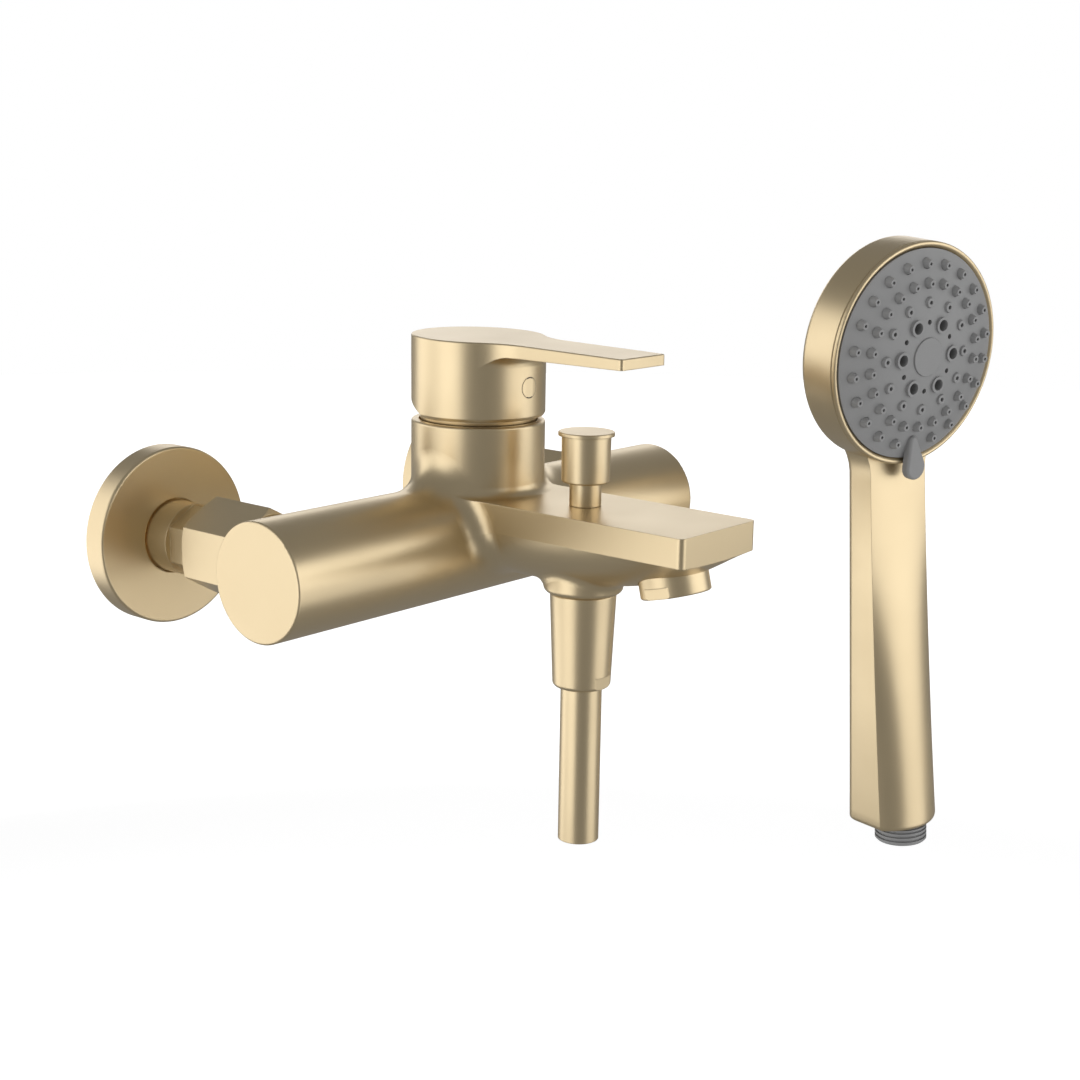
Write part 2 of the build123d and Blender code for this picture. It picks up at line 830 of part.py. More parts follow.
with BuildPart() as sleeve:
    with BuildSketch(body_front_plane):
        outline(
            (0, sleeve_z),
            (cavity_r - cartridge_clearance * 3, sleeve_z),
            (cavity_r - cartridge_clearance * 3, sleeve_z + sleeve_flange_thickness),
            (sleeve_dia / 2, sleeve_z + sleeve_flange_thickness),
            (sleeve_dia / 2, pivot_height + sleeve_above_pivot),
            (0, pivot_height + sleeve_above_pivot),
        )
    revolve(axis=body_axis)
    slot_y = spindle_square / 2 + 2.3
    with BuildSketch(Plane.XY.offset(pivot_height - spindle_square_drop - spindle_swing_room)):
        with Locations((0, body_y)):
            Rectangle(spindle_square + 2 * spindle_slot_gap, 2 * slot_y)
    extrude(amount=sleeve_dia, mode=Mode.SUBTRACT)
    ball_room = spindle_ball_dia / 2 + spindle_ball_gap
    ball_swing = disc_travel + ball_room
    ball_top = pivot_height - arm_length * cos(radians(lever_tilt)) + ball_room
    with BuildSketch(Plane.XY.offset(sleeve_z)):
        with Locations((0, body_y - (ball_swing - ball_room) / 2)):
            Rectangle(2 * ball_room, ball_swing + ball_room)
    extrude(amount=ball_top - sleeve_z, mode=Mode.SUBTRACT)
    neck_room = spindle_neck_dia / 2 + spindle_neck_gap
    neck_lean = spindle_neck_dia / 2 * (1 / cos(radians(lever_tilt)) - 1)
    neck_swing = (pivot_height - ball_top) * tan(radians(lever_tilt)) + neck_lean + neck_room
    with BuildSketch(Plane.XY.offset(sleeve_z)):
        with Locations((0, body_y - (neck_swing - neck_room) / 2)):
            Rectangle(2 * neck_room, neck_swing + neck_room)
    extrude(amount=sleeve_dia, mode=Mode.SUBTRACT)
    with BuildSketch(Plane.YZ.offset(-sleeve_dia)):
        with Locations((body_y, pivot_height)):
            Circle(pin_dia / 2)
    extrude(amount=2 * sleeve_dia, mode=Mode.SUBTRACT)
write(sleeve, "cartridge_sleeve")

with BuildPart() as pivot_pin:
    pin_length = sleeve_dia - 2 * pin_end_gap
    with BuildSketch(Plane.YZ.offset(-pin_length / 2)):
        with Locations((body_y, pivot_height)):
            Circle(pin_dia / 2)
    extrude(amount=pin_length)
write(pivot_pin, "pivot_pin")

with BuildPart() as spindle:
    with BuildSketch(body_front_plane):
        with Locations((0, spindle_ball_height)):
            Circle(spindle_ball_dia / 2)
        with Locations((-spindle_ball_dia / 2, spindle_ball_height)):
            Rectangle(spindle_ball_dia, 2 * spindle_ball_dia, mode=Mode.SUBTRACT)
    revolve(axis=body_axis)
    with BuildSketch(Plane.XY.offset(spindle_ball_height)):
        with Locations((0, body_y)):
            Circle(spindle_neck_dia / 2)
    extrude(amount=arm_length)
    with BuildSketch(Plane.XY.offset(pivot_height - spindle_square_drop)):
        with Locations((0, body_y)):
            Rectangle(spindle_square, spindle_square)
    extrude(amount=spindle_top - pivot_height + spindle_square_drop)
    chamfer(spindle.edges().group_by(Axis.Z)[-1], 0.8)
    with BuildSketch(Plane.YZ.offset(-spindle_square)):
        with Locations((body_y, pivot_height)):
            Circle(pin_dia / 2 + running_clearance)
    extrude(amount=2 * spindle_square, mode=Mode.SUBTRACT)
write(spindle, "lever_spindle")

with BuildPart() as clamp_nut:
    with BuildSketch(Plane.XY.offset(cartridge_shoulder)):
        with Locations((0, body_y)):
            Circle(clamp_thread_dia / 2 - thread_clearance)
    extrude(amount=clamp_nut_height)
    with BuildSketch(Plane.XY.offset(cartridge_shoulder + clamp_nut_height)):
        with Locations((0, body_y)):
            RegularPolygon(clamp_hex_af / 2, 6, major_radius=False)
    extrude(amount=clamp_hex_height)
    with BuildSketch(Plane.XY.offset(cartridge_shoulder)):
        with Locations((0, body_y)):
            Circle(cartridge_neck_dia / 2 + clamp_nut_clearance)
    extrude(amount=clamp_nut_height + clamp_hex_height, mode=Mode.SUBTRACT)
write(clamp_nut, "cartridge_clamp_nut")

with BuildPart() as dome:
    inner_r = dome_radius - dome_wall
    foot_rise = dome_foot - pivot_height
    rim_rise = dome_top - pivot_height
    flange_rise = rim_rise - dome_wall
    with BuildSketch(body_front_plane):
        with BuildLine():
            foot_out = (sqrt(dome_radius**2 - foot_rise**2), dome_foot)
            rim_out = (sqrt(dome_radius**2 - rim_rise**2), dome_top)
            foot_in = (sqrt(inner_r**2 - foot_rise**2), dome_foot)
            flange_in = (sqrt(inner_r**2 - flange_rise**2), dome_top - dome_wall)
            ThreePointArc(foot_out, (dome_radius, pivot_height), rim_out)
            Polyline(
                rim_out,
                (dome_opening / 2, dome_top),
                (dome_opening / 2, dome_top - dome_wall),
                flange_in,
            )
            ThreePointArc(flange_in, (inner_r, pivot_height), foot_in)
            Line(foot_in, foot_out)
        make_face()
    revolve(axis=body_axis)
write(dome, "cover_dome")

# Lever handle: round cap, flat blade, socket for the spindle
handle_r = handle_dia / 2
top_fall = tan(radians(handle_top_slope))
blade_tip_y = body_y - handle_reach


def handle_height(y):
    return handle_top + (y - body_y) * top_fall


blade_under = handle_height(blade_tip_y) - blade_thickness

with BuildSketch() as handle_plan:
    outline(
        (-blade_tip_half_width, blade_tip_y),
        (blade_tip_half_width, blade_tip_y),
        (blade_root_half_width, body_y),
        (-blade_root_half_width, body_y),
    )
    with Locations((0, body_y)):
        Circle(handle_r)
    fillet(
        handle_plan.vertices().filter_by(lambda v: blade_tip_y + 1 < v.Y < body_y - handle_r / 3),
        blade_web,
    )
    fillet(handle_plan.vertices().group_by(Axis.Y)[0], blade_corner)

with BuildPart() as blade_cove:
    with BuildSketch(body_front_plane):
        reach = handle_r + blade_root_fillet
        with BuildLine():
            CenterArc((reach, blade_under - blade_root_fillet), blade_root_fillet, 90, 90)
            Polyline(
                (handle_r, blade_under - blade_root_fillet),
                (handle_r - blade_root, blade_under - blade_root_fillet),
                (handle_r - blade_root, blade_under + blade_root),
                (reach, blade_under + blade_root),
                (reach, blade_under),
            )
        make_face()
    revolve(axis=body_axis)
    extrude(handle_plan.sketch, amount=handle_top, mode=Mode.INTERSECT)

with BuildPart() as handle:
    with BuildSketch(Plane.XY.offset(handle_bottom)):
        with Locations((0, body_y)):
            Circle(handle_r)
    extrude(amount=handle_top - handle_bottom + handle_r)
    with BuildSketch(Plane.XY.offset(blade_under)):
        add(handle_plan.sketch)
    extrude(amount=handle_r)
    add(blade_cove.part)
    # The top is one plane that falls gently to the tip
    with BuildSketch(Plane.YZ.offset(-handle_r)):
        outline(
            (blade_tip_y - 1, handle_height(blade_tip_y - 1)),
            (body_y + handle_r + 1, handle_height(body_y + handle_r + 1)),
            (body_y + handle_r + 1, handle_top + 2 * handle_r),
            (blade_tip_y - 1, handle_top + 2 * handle_r),
        )
    extrude(amount=handle_dia, mode=Mode.SUBTRACT)
    top_edges = handle.faces().sort_by(Axis.Z)[-1].outer_wire().edges()
    fillet(top_edges, handle_edge)
    chamfer(handle.edges().group_by(Axis.Z)[0], handle_lip, 0.6 * handle_lip)
    with BuildSketch(body_front_plane):
        cavity = handle_r - handle_wall
        outline(
            (0, handle_ceiling),
            (cavity, handle_ceiling),
            (cavity, handle_bottom),
            (0, handle_bottom),
        )
    revolve(axis=body_axis, mode=Mode.SUBTRACT)
    with BuildSketch(Plane.XY.offset(socket_bottom)):
        with Locations((0, body_y)):
            Circle(socket_dia / 2)
    extrude(amount=handle_ceiling - socket_bottom)
    with BuildSketch(Plane.XY.offset(socket_bottom)):
        with Locations((0, body_y)):
            Rectangle(spindle_square + 2 * socket_gap, spindle_square + 2 * socket_gap)
    extrude(amount=spindle_top + 0.3 - socket_bottom, mode=Mode.SUBTRACT)
    # Skirt cut away at the back, so that the lever can tilt
    with BuildSketch(Plane.YZ.offset(-handle_r)):
        cut_y = body_y + skirt_cut_start
        cut_rise = 2 * handle_r * tan(radians(skirt_cut_angle))
        outline(
            (cut_y, handle_bottom - 0.01),
            (cut_y + 2 * handle_r, handle_bottom + cut_rise),
            (cut_y + 2 * handle_r, handle_bottom - 0.01),
        )
    extrude(amount=handle_dia, mode=Mode.SUBTRACT)
    # Way for the set screw, closed by the index plug
    with BuildSketch(Plane.XZ.offset(-body_y)):
        with Locations((0, plug_height)):
            Circle(screw_dia / 2)
    extrude(amount=handle_r, mode=Mode.SUBTRACT)
    with BuildSketch(Plane.XZ.offset(-body_y + socket_dia / 2 + 0.5)):
        with Locations((0, plug_height)):
            Circle(plug_dia / 2 + plug_gap)
    extrude(amount=handle_r, mode=Mode.SUBTRACT)
write(handle, "handle_lever")

with BuildPart() as set_screw:
    with BuildSketch(Plane.XZ.offset(-body_y + spindle_square / 2)):
        with Locations((0, plug_height)):
            Circle(screw_dia / 2)
    extrude(amount=screw_length)
    with BuildSketch(Plane.XZ.offset(-body_y + spindle_square / 2 + screw_length)):
        with Locations((0, plug_height)):
            RegularPolygon(1.0, 6, major_radius=False)
    extrude(amount=-2.0, mode=Mode.SUBTRACT)
write(set_screw, "handle_set_screw")

with BuildPart() as index_plug:
    with BuildSketch(Plane.XZ.offset(-body_y + handle_r - plug_thickness)):
        with Locations((0, plug_height)):
            Circle(plug_dia / 2)
    extrude(amount=plug_thickness)
    with BuildSketch(Plane.XY.offset(handle_bottom)):
        with Locations((0, body_y)):
            Circle(handle_r + plug_gap)
    extrude(amount=handle_top - handle_bottom, mode=Mode.INTERSECT)
write(index_plug, "index_plug")

# Diverter
bush_top = chamber_top
window_z = bush_top - 3.0 - bush_window_height
seat_z = window_z - bush_seat_thickness
upper_seal_top = seat_z - seat_gap - diverter_travel
disc_top = upper_seal_top - diverter_seal_thickness
disc_bottom = disc_top - diverter_disc_thickness
knob_bottom = spout_top + knob_lift_gap

with BuildPart() as bush:
    with BuildSketch(diverter_plane):
        outline(
            (bush_seat_bore / 2, seat_z),
            (chamber_dia / 2 - bush_clearance, seat_z),
            (chamber_dia / 2 - bush_clearance, bush_top),
            (diverter_rod_dia / 2 + running_clearance, bush_top),
            (diverter_rod_dia / 2 + running_clearance, bush_top - 0.8),
            (diverter_rod_dia / 2 + rod_ring_section + 0.1, bush_top - 0.8),
            (diverter_rod_dia / 2 + rod_ring_section + 0.1, bush_top - 2.2),
            (diverter_rod_dia / 2 + running_clearance, bush_top - 2.2),
            (diverter_rod_dia / 2 + running_clearance, bush_top - 3.0),
            (bush_seat_bore / 2, bush_top - 3.0),
        )
    revolve(axis=diverter_axis)
    for turn in (0, 90):
        with BuildSketch(Plane.XY.offset(window_z)):
            with Locations(Location((0, diverter_y, 0), (0, 0, turn))):
                Rectangle(chamber_dia + 2, bush_window_width)
        extrude(amount=bush_window_height, mode=Mode.SUBTRACT)
write(bush, "diverter_bush")

with BuildPart() as rod_ring:
    with BuildSketch(diverter_plane):
        ring(
            diverter_rod_dia + 2 * rod_ring_section,
            diverter_rod_dia + running_clearance,
            bush_top - 2.15,
            bush_top - 0.85,
        )
    revolve(axis=diverter_axis)
write(rod_ring, "diverter_rod_seal")

with BuildPart() as diverter_spindle:
    with BuildSketch(diverter_plane):
        outline(
            (0, disc_bottom - diverter_seal_thickness),
            (diverter_rod_dia / 2 - 0.6, disc_bottom - diverter_seal_thickness),
            (diverter_rod_dia / 2 - 0.6, disc_bottom),
            (diverter_disc_dia / 2, disc_bottom),
            (diverter_disc_dia / 2, disc_top),
            (diverter_rod_dia / 2, disc_top),
            (diverter_rod_dia / 2, knob_bottom + knob_rod_depth),
            (0, knob_bottom + knob_rod_depth),
        )
    revolve(axis=diverter_axis)
write(diverter_spindle, "diverter_spindle")

with BuildPart() as upper_seal:
    with BuildSketch(diverter_plane):
        ring(diverter_seal_dia, diverter_rod_dia, disc_top, upper_seal_top)
    revolve(axis=diverter_axis)
write(upper_seal, "diverter_upper_seal")

with BuildPart() as lower_seal:
    with BuildSketch(diverter_plane):
        ring(diverter_seal_dia, diverter_rod_dia - 1.2, disc_bottom - diverter_seal_thickness, disc_bottom)
    revolve(axis=diverter_axis)
write(lower_seal, "diverter_lower_seal")

with BuildPart() as knob:
    with BuildSketch(diverter_plane):
        outline(
            (0, knob_bottom),
            (knob_stem_dia / 2, knob_bottom),
            (knob_stem_dia / 2, knob_barrel_bottom),
            (knob_barrel_foot_dia / 2, knob_barrel_bottom),
            (knob_barrel_dia / 2, knob_top - knob_disc_thickness),
            (knob_disc_dia / 2, knob_top - knob_disc_thickness),
            (knob_disc_dia / 2, knob_top),
            (0, knob_top),
        )
    revolve(axis=diverter_axis)
    fillet(knob.edges().group_by(Axis.Z)[-1], 0.4)
    fillet(knob.edges().filter_by(
        lambda edge: abs(edge.center().Z - knob_barrel_bottom) < 0.01 and edge.radius > knob_stem_dia / 2 + 1
    ), 0.7)
    with BuildSketch(Plane.XY.offset(knob_bottom)):
        with Locations((0, diverter_y)):
            Circle(diverter_rod_dia / 2)
    extrude(amount=knob_rod_depth, mode=Mode.SUBTRACT)
write(knob, "diverter_knob")

# Shower outlet: threaded nipple, check valve, hose nut, washer, ferrule and hose
nipple_bottom = boss_bottom - nipple_length
valve_bottom = nipple_bottom + check_valve_inset
valve_top = valve_bottom + check_valve_length

with BuildPart() as nipple:
    with BuildSketch(diverter_plane):
        outline(
            (check_valve_dia / 2 + thread_clearance, nipple_bottom),
            (g_half_pitch_dia / 2, nipple_bottom),
            (g_half_pitch_dia / 2, outlet_top),
            (nipple_bore / 2, outlet_top),
            (nipple_bore / 2, valve_top),
            (check_valve_dia / 2 + thread_clearance, valve_top),
        )
    revolve(axis=diverter_axis)
write(nipple, "shower_outlet_nipple")

with BuildPart() as check_valve:
    inner = check_valve_dia / 2 - check_valve_wall
    with BuildSketch(diverter_plane):
        ring(check_valve_dia, 2 * inner, valve_bottom, valve_top)
    revolve(axis=diverter_axis)
    for turn in (0, 90):
        with BuildSketch(Plane.XY.offset(valve_bottom)):
            with Locations(Location((0, diverter_y, 0), (0, 0, turn))):
                Rectangle(2 * inner + 1, 1.4)
        extrude(amount=check_valve_length / 3)
    with BuildSketch(diverter_plane):
        outline(
            (0, valve_bottom + check_valve_length / 4),
            (1.2, valve_bottom + check_valve_length / 4),
            (1.2, valve_top - 3.5),
            (inner - 0.9, valve_top - 2.2),
            (inner - 0.9, valve_top - 1.2),
            (0, valve_top - 0.6),
        )
    revolve(axis=diverter_axis)
write(check_valve, "check_valve")

washer_bottom = nipple_bottom - washer_thickness
ferrule_bottom = washer_bottom - ferrule_flange_thickness
nut_seat = ferrule_bottom - hose_clearance
hose_top = ferrule_bottom - ferrule_collar_length

with BuildPart() as hose_nut:
    with BuildSketch(diverter_plane):
        nut_top = boss_bottom - hose_nut_gap
        outline(
            (g_half_pitch_dia / 2 + thread_clearance, nut_top),
            (hose_nut_top_dia / 2, nut_top),
            (hose_nut_bottom_dia / 2, hose_nut_bottom),
            (hose_dia / 2 + hose_clearance, hose_nut_bottom),
            (hose_dia / 2 + hose_clearance, hose_top - 1),
            (ferrule_collar_dia / 2 + hose_clearance, hose_top - 1),
            (ferrule_collar_dia / 2 + hose_clearance, nut_seat),
            (hose_washer_dia / 2 + hose_clearance / 2, nut_seat),
            (hose_washer_dia / 2 + hose_clearance / 2, nipple_bottom),
            (g_half_pitch_dia / 2 + thread_clearance, nipple_bottom),
        )
    revolve(axis=diverter_axis)
    fillet(hose_nut.edges().group_by(Axis.Z)[0].sort_by(SortBy.RADIUS)[-1], hose_nut_edge)
    fillet(hose_nut.edges().group_by(Axis.Z)[-1].sort_by(SortBy.RADIUS)[-1], 0.4)
    with BuildSketch(Plane.XY.offset(hose_nut_bottom)):
        for face in (-1, 1):
            with Locations((0, diverter_y + face * (hose_nut_flat + hose_nut_top_dia / 2))):
                Rectangle(hose_nut_top_dia, hose_nut_top_dia)
    extrude(amount=hose_nut_flat_height, mode=Mode.SUBTRACT)
write(hose_nut, "hose_nut")

with BuildPart() as hose_washer:
    with BuildSketch(diverter_plane):
        ring(hose_washer_dia, hose_washer_bore, washer_bottom, nipple_bottom)
    revolve(axis=diverter_axis)
write(hose_washer, "hose_washer")

with BuildPart() as ferrule:
    with BuildSketch(diverter_plane):
        outline(
            (hose_bore / 2 - 1.2, hose_top - ferrule_tube_length),
            (hose_bore / 2, hose_top - ferrule_tube_length),
            (hose_bore / 2, hose_top),
            (ferrule_collar_dia / 2, hose_top),
            (ferrule_collar_dia / 2, ferrule_bottom),
            (hose_washer_dia / 2, ferrule_bottom),
            (hose_washer_dia / 2, washer_bottom),
            (hose_bore / 2 - 1.2, washer_bottom),
        )
    revolve(axis=diverter_axis)
write(ferrule, "hose_ferrule")

with BuildPart() as hose:
    with BuildSketch(diverter_plane):
        ring(hose_dia, hose_bore, hose_end, hose_top)
    revolve(axis=diverter_axis)
write(hose, "hose")

# Aerator under the spout's tip
with BuildPart() as aerator:
    bore = aerator_dia / 2 - aerator_wall
    with BuildSketch(aerator_side):
        outline(
            (bore, 0),
            (aerator_dia / 2, 0),
            (aerator_dia / 2, aerator_skirt),
            (aerator_thread_dia / 2, aerator_skirt),
            (aerator_thread_dia / 2, aerator_thread_top),
            (aerator_thread_dia / 2 - 1.2, aerator_thread_top),
            (aerator_thread_dia / 2 - 1.2, aerator_skirt - 1.2),
            (bore, aerator_skirt - 1.2),
        )
    revolve(axis=aerator_axis)
    chamfer(aerator.edges().filter_by(GeomType.CIRCLE).filter_by(
        lambda edge: abs(edge.radius - aerator_dia / 2) < 0.01
    ).sort_by(Axis.Z)[0], 0.4)
    with BuildSketch(aerator_plane.offset(-aerator_flat_height)):
        for turn in (aerator_flat_turn, aerator_flat_turn + 180):
            away = aerator_flat + aerator_dia / 2
            with Locations(Location((away * cos(radians(turn)), away * sin(radians(turn)), 0), (0, 0, turn))):
                Rectangle(aerator_dia, aerator_dia)
    extrude(amount=aerator_flat_height, mode=Mode.SUBTRACT)
write(aerator, "aerator_housing")

with BuildPart() as aerator_insert:
    insert_r = aerator_thread_dia / 2 - 1.2 - 0.1
    insert_bottom = aerator_thread_top - aerator_insert_height - 1.6
    with BuildSketch(aerator_side):
        outline(
            (0, insert_bottom),
            (insert_r, insert_bottom),
            (insert_r, aerator_thread_top),
            (0, aerator_thread_top),
        )
    revolve(axis=aerator_axis)
    with BuildSketch(aerator_plane.offset(-insert_bottom)):
        with GridLocations(aerator_mesh_gap, aerator_mesh_gap, 5, 5):
            Rectangle(aerator_mesh_hole, aerator_mesh_hole)
    extrude(amount=-aerator_insert_height / 2, mode=Mode.SUBTRACT)
write(aerator_insert, "aerator_insert")

with BuildPart() as aerator_washer:
    with BuildSketch(aerator_side):
        ring(
            aerator_thread_dia,
            aerator_thread_dia - 5,
            aerator_thread_top,
            aerator_thread_top + aerator_washer_thickness,
        )
    revolve(axis=aerator_axis)
write(aerator_washer, "aerator_washer")

# Hand shower. Sketches on its side plane take x as the radius and y as the depth behind the face.
head_plane = Plane(origin=head_centre, x_dir=head_right, z_dir=head_right.cross(head_up))
head_back = -head_plane.z_dir
head_side = Plane(origin=head_centre, x_dir=head_right, z_dir=head_up)
head_axis = Axis(head_centre, head_side.y_dir)
head_r = head_dia / 2
face_r = face_dia / 2
face_rise = face_dome + face_edge
face_ball_r = (face_r**2 + face_rise**2) / (2 * face_rise)


def face_height(radius):
    return sqrt(face_ball_r**2 - radius**2) - face_ball_r + face_dome


grip_down = (-head_up - head_back * grip_axis_slope).normalized()
grip_out = grip_down.cross(head_right).normalized()
if grip_out.dot(head_back) < 0:
    grip_out = -grip_out


def grip_point(down, out):
    return head_centre + head_back * (grip_axis_depth - grip_axis_slope * down) - head_up * down + grip_out * out


def grip_section(down, shrink=0):
    """Flat back with round edges, straight sides, and a front that swells towards the end."""
    flare = max(grip_flare_end - down, 0) / (grip_flare_end - grip_top)
    half_width = grip_half_width + grip_flare * flare**2 - shrink
    swell = max(sin(radians(90 * (down - grip_bulge_start) / grip_bulge_length)), 0)
    bulge = max(grip_bulge * swell**grip_bulge_power, grip_flat_bulge)
    back = grip_back - shrink
    edge = grip_back_edge
    section_plane = Plane(origin=grip_point(down, 0), x_dir=head_right, z_dir=grip_down)
    turn = 1 if section_plane.y_dir.dot(grip_out) > 0 else -1
    with BuildSketch(section_plane) as section:
        with BuildLine():
            Line((half_width, turn * grip_crease), (half_width, turn * (back - edge)))
            ThreePointArc(
                (half_width, turn * (back - edge)),
                (half_width - edge * (1 - sqrt(0.5)), turn * (back - edge * (1 - sqrt(0.5)))),
                (half_width - edge, turn * back),
            )
            Line((half_width - edge, turn * back), (edge - half_width, turn * back))
            ThreePointArc(
                (edge - half_width, turn * back),
                (edge * (1 - sqrt(0.5)) - half_width, turn * (back - edge * (1 - sqrt(0.5)))),
                (-half_width, turn * (back - edge)),
            )
            Line((-half_width, turn * (back - edge)), (-half_width, turn * grip_crease))
            ThreePointArc(
                (-half_width, turn * grip_crease),
                (0, turn * (grip_crease - bulge + shrink)),
                (half_width, turn * grip_crease),
            )
        make_face()
    return section.sketch


grip_stations = [grip_top, 40, 46, 52, grip_flare_end, 75, 95, 120, 145, 170, grip_end - grip_end_edge]
tube_end = grip_point(*tube_foot)
tube_line = (grip_point(*tube_top) - tube_end).normalized()
tube_length = (grip_point(*tube_top) - tube_end).length
tube_plane = Plane(origin=tube_end, x_dir=head_right, z_dir=tube_line)
connector_centre = grip_point(grip_end, tube_foot[1])
connector_plane = Plane(origin=connector_centre, x_dir=head_right, z_dir=grip_down)
connector_side = Plane(
    origin=connector_centre,
    x_dir=head_right,
    z_dir=head_right.cross(grip_down),
)
connector_axis = Axis(connector_centre, connector_side.y_dir)
slope_length = sqrt(1 + grip_axis_slope**2)
plug_length = (grip_end - connector_top) * slope_length
stub_length = (connector_reach - grip_end) * slope_length

with BuildPart() as shell:
    with BuildSketch(head_side):
        with BuildLine():
            Polyline(
                (0, head_depth),
                (0, head_front),
                (head_r, head_front),
                (head_r, head_depth - head_back_edge),
            )
            CenterArc((head_r - head_back_edge, head_depth - head_back_edge), head_back_edge, 0, 90)
            Line((head_r - head_back_edge, head_depth), (0, head_depth))
        make_face()
    revolve(axis=head_axis)
    add(loft([grip_section(down) for down in grip_stations], mode=Mode.PRIVATE))
    end_stations = [
        (grip_end - grip_end_edge, 0),
        (grip_end - 0.5 * grip_end_edge, 0.14 * grip_end_edge),
        (grip_end - 0.14 * grip_end_edge, 0.5 * grip_end_edge),
        (grip_end, grip_end_edge),
    ]
    for (down, shrink), (next_down, next_shrink) in zip(end_stations, end_stations[1:]):
        add(loft(
            [grip_section(down, shrink), grip_section(next_down, next_shrink)],
            ruled=True,
            mode=Mode.PRIVATE,
        ))
    with BuildSketch(head_side):
        outline(
            (0, head_front),
            (head_cavity_dia / 2, head_front),
            (head_cavity_dia / 2, head_cavity_depth),
            (0, head_cavity_depth),
        )
    revolve(axis=head_axis, mode=Mode.SUBTRACT)
    with BuildSketch(tube_plane):
        Circle(tube_dia / 2 + tube_clearance)
    extrude(amount=tube_length, mode=Mode.SUBTRACT)
    with BuildSketch(connector_plane):
        Circle(connector_plug_dia / 2 + thread_clearance)
    extrude(amount=-plug_length, mode=Mode.SUBTRACT)
write(shell, "handset_shell")

with BuildPart() as connector:
    with BuildSketch(connector_side):
        outline(
            (0, -plug_length),
            (connector_plug_dia / 2, -plug_length),
            (connector_plug_dia / 2, 0),
            (g_half_dia / 2, 0),
            (g_half_dia / 2, stub_length - connector_edge),
            (g_half_dia / 2 - connector_edge, stub_length),
            (0, stub_length),
        )
    revolve(axis=connector_axis)
    with BuildSketch(connector_plane.offset(stub_length)):
        Circle(connector_bore / 2)
    extrude(amount=-connector_bore_depth, mode=Mode.SUBTRACT)
    with BuildSketch(connector_plane.offset(stub_length)):
        Circle(tube_bore / 2)
    extrude(amount=-stub_length - plug_length, mode=Mode.SUBTRACT)
    for k in range(connector_ridges):
        groove = stub_length - 1.6 - k * connector_ridge_pitch
        with BuildSketch(connector_plane.offset(groove)):
            Circle(g_half_dia / 2 + 1)
            Circle(g_half_dia / 2 - connector_ridge_depth, mode=Mode.SUBTRACT)
        extrude(amount=-connector_ridge_pitch / 2, mode=Mode.SUBTRACT)
write(connector, "inlet_connector")

with BuildPart() as inlet_screen:
    with BuildSketch(connector_plane.offset(stub_length - strainer_inset)):
        Circle(connector_bore / 2 - running_clearance)
        with GridLocations(2.4, 2.4, 5, 5):
            Rectangle(1.5, 1.5, mode=Mode.SUBTRACT)
    extrude(amount=-strainer_thickness)
write(inlet_screen, "connector_strainer")

with BuildPart() as water_tube:
    with BuildSketch(tube_plane):
        Circle(tube_dia / 2)
        Circle(tube_bore / 2, mode=Mode.SUBTRACT)
    extrude(amount=tube_length)
    with BuildSketch(head_side):
        outline(
            (0, 0),
            (head_cavity_dia / 2 + tube_clearance, 0),
            (head_cavity_dia / 2 + tube_clearance, head_depth),
            (0, head_depth),
        )
    revolve(axis=head_axis, mode=Mode.SUBTRACT)
write(water_tube, "water_tube")

with BuildPart() as inner_plate:
    with BuildSketch(head_side):
        outline(
            (0, head_cavity_depth),
            (0, hub_front),
            (hub_dia / 2, hub_front),
            (hub_dia / 2, plate_front),
            (plate_dia / 2, plate_front),
            (plate_dia / 2, head_cavity_depth),
        )
    revolve(axis=head_axis)
    with BuildSketch(head_plane.offset(-head_cavity_depth)):
        with Locations((0, -port_reach - plate_dia / 4)):
            Rectangle(plate_channel_width, plate_dia / 2 + plate_channel_width)
    extrude(amount=head_cavity_depth - plate_channel_floor, mode=Mode.SUBTRACT)
    with BuildSketch(head_plane.offset(-plate_front)):
        with Locations((0, -port_reach)):
            Circle(port_seal_dia / 2)
    extrude(amount=-port_seal_depth, mode=Mode.SUBTRACT)
    with BuildSketch(head_plane.offset(-plate_front)):
        with Locations((0, -port_reach)):
            Circle(port_dia / 2)
    extrude(amount=plate_front - head_cavity_depth, mode=Mode.SUBTRACT)
    detent_at = (detent_reach * cos(radians(detent_turn)), detent_reach * sin(radians(detent_turn)))
    with BuildSketch(head_plane.offset(-plate_front)):
        with Locations(detent_at):
            Circle(detent_pocket_dia / 2)
    extrude(amount=plate_front - detent_pocket_floor, mode=Mode.SUBTRACT)
    with BuildSketch(head_plane.offset(-hub_front)):
        Circle(face_screw_dia / 2 + thread_clearance)
    extrude(amount=hub_front - face_screw_tip - thread_clearance, mode=Mode.SUBTRACT)
write(inner_plate, "inner_plate")

with BuildPart() as port_seal:
    with BuildSketch(head_plane.offset(-plate_front - port_seal_depth)):
        with Locations((0, -port_reach)):
            Circle(port_seal_dia / 2)
            Circle(port_dia / 2, mode=Mode.SUBTRACT)
    extrude(amount=plate_front + port_seal_depth - body_back - port_seal_gap)
write(port_seal, "port_seal")

with BuildPart() as detent_ball:
    with Locations(head_plane.offset(-detent_ball_depth)):
        with Locations(detent_at):
            Sphere(detent_ball_dia / 2)
write(detent_ball, "detent_ball")

spring_low = detent_ball_depth + 0.75 * detent_ball_dia / 2 + detent_spring_wire / 2
spring_high = detent_pocket_floor - detent_spring_wire / 2
spring_centre = head_plane.offset(-spring_high).from_local_coords(Vector(*detent_at))
coil_length = spring_high - spring_low
spring_plane = Plane(origin=spring_centre, x_dir=head_right, z_dir=head_plane.z_dir)

with BuildPart() as coil_form:
    with BuildLine() as coil:
        Helix(coil_length / detent_spring_turns, coil_length, (detent_spring_dia - detent_spring_wire) / 2)
    with BuildSketch(Plane(origin=coil.line @ 0, z_dir=coil.line % 0)):
        Circle(detent_spring_wire / 2)
    sweep(path=coil.line)

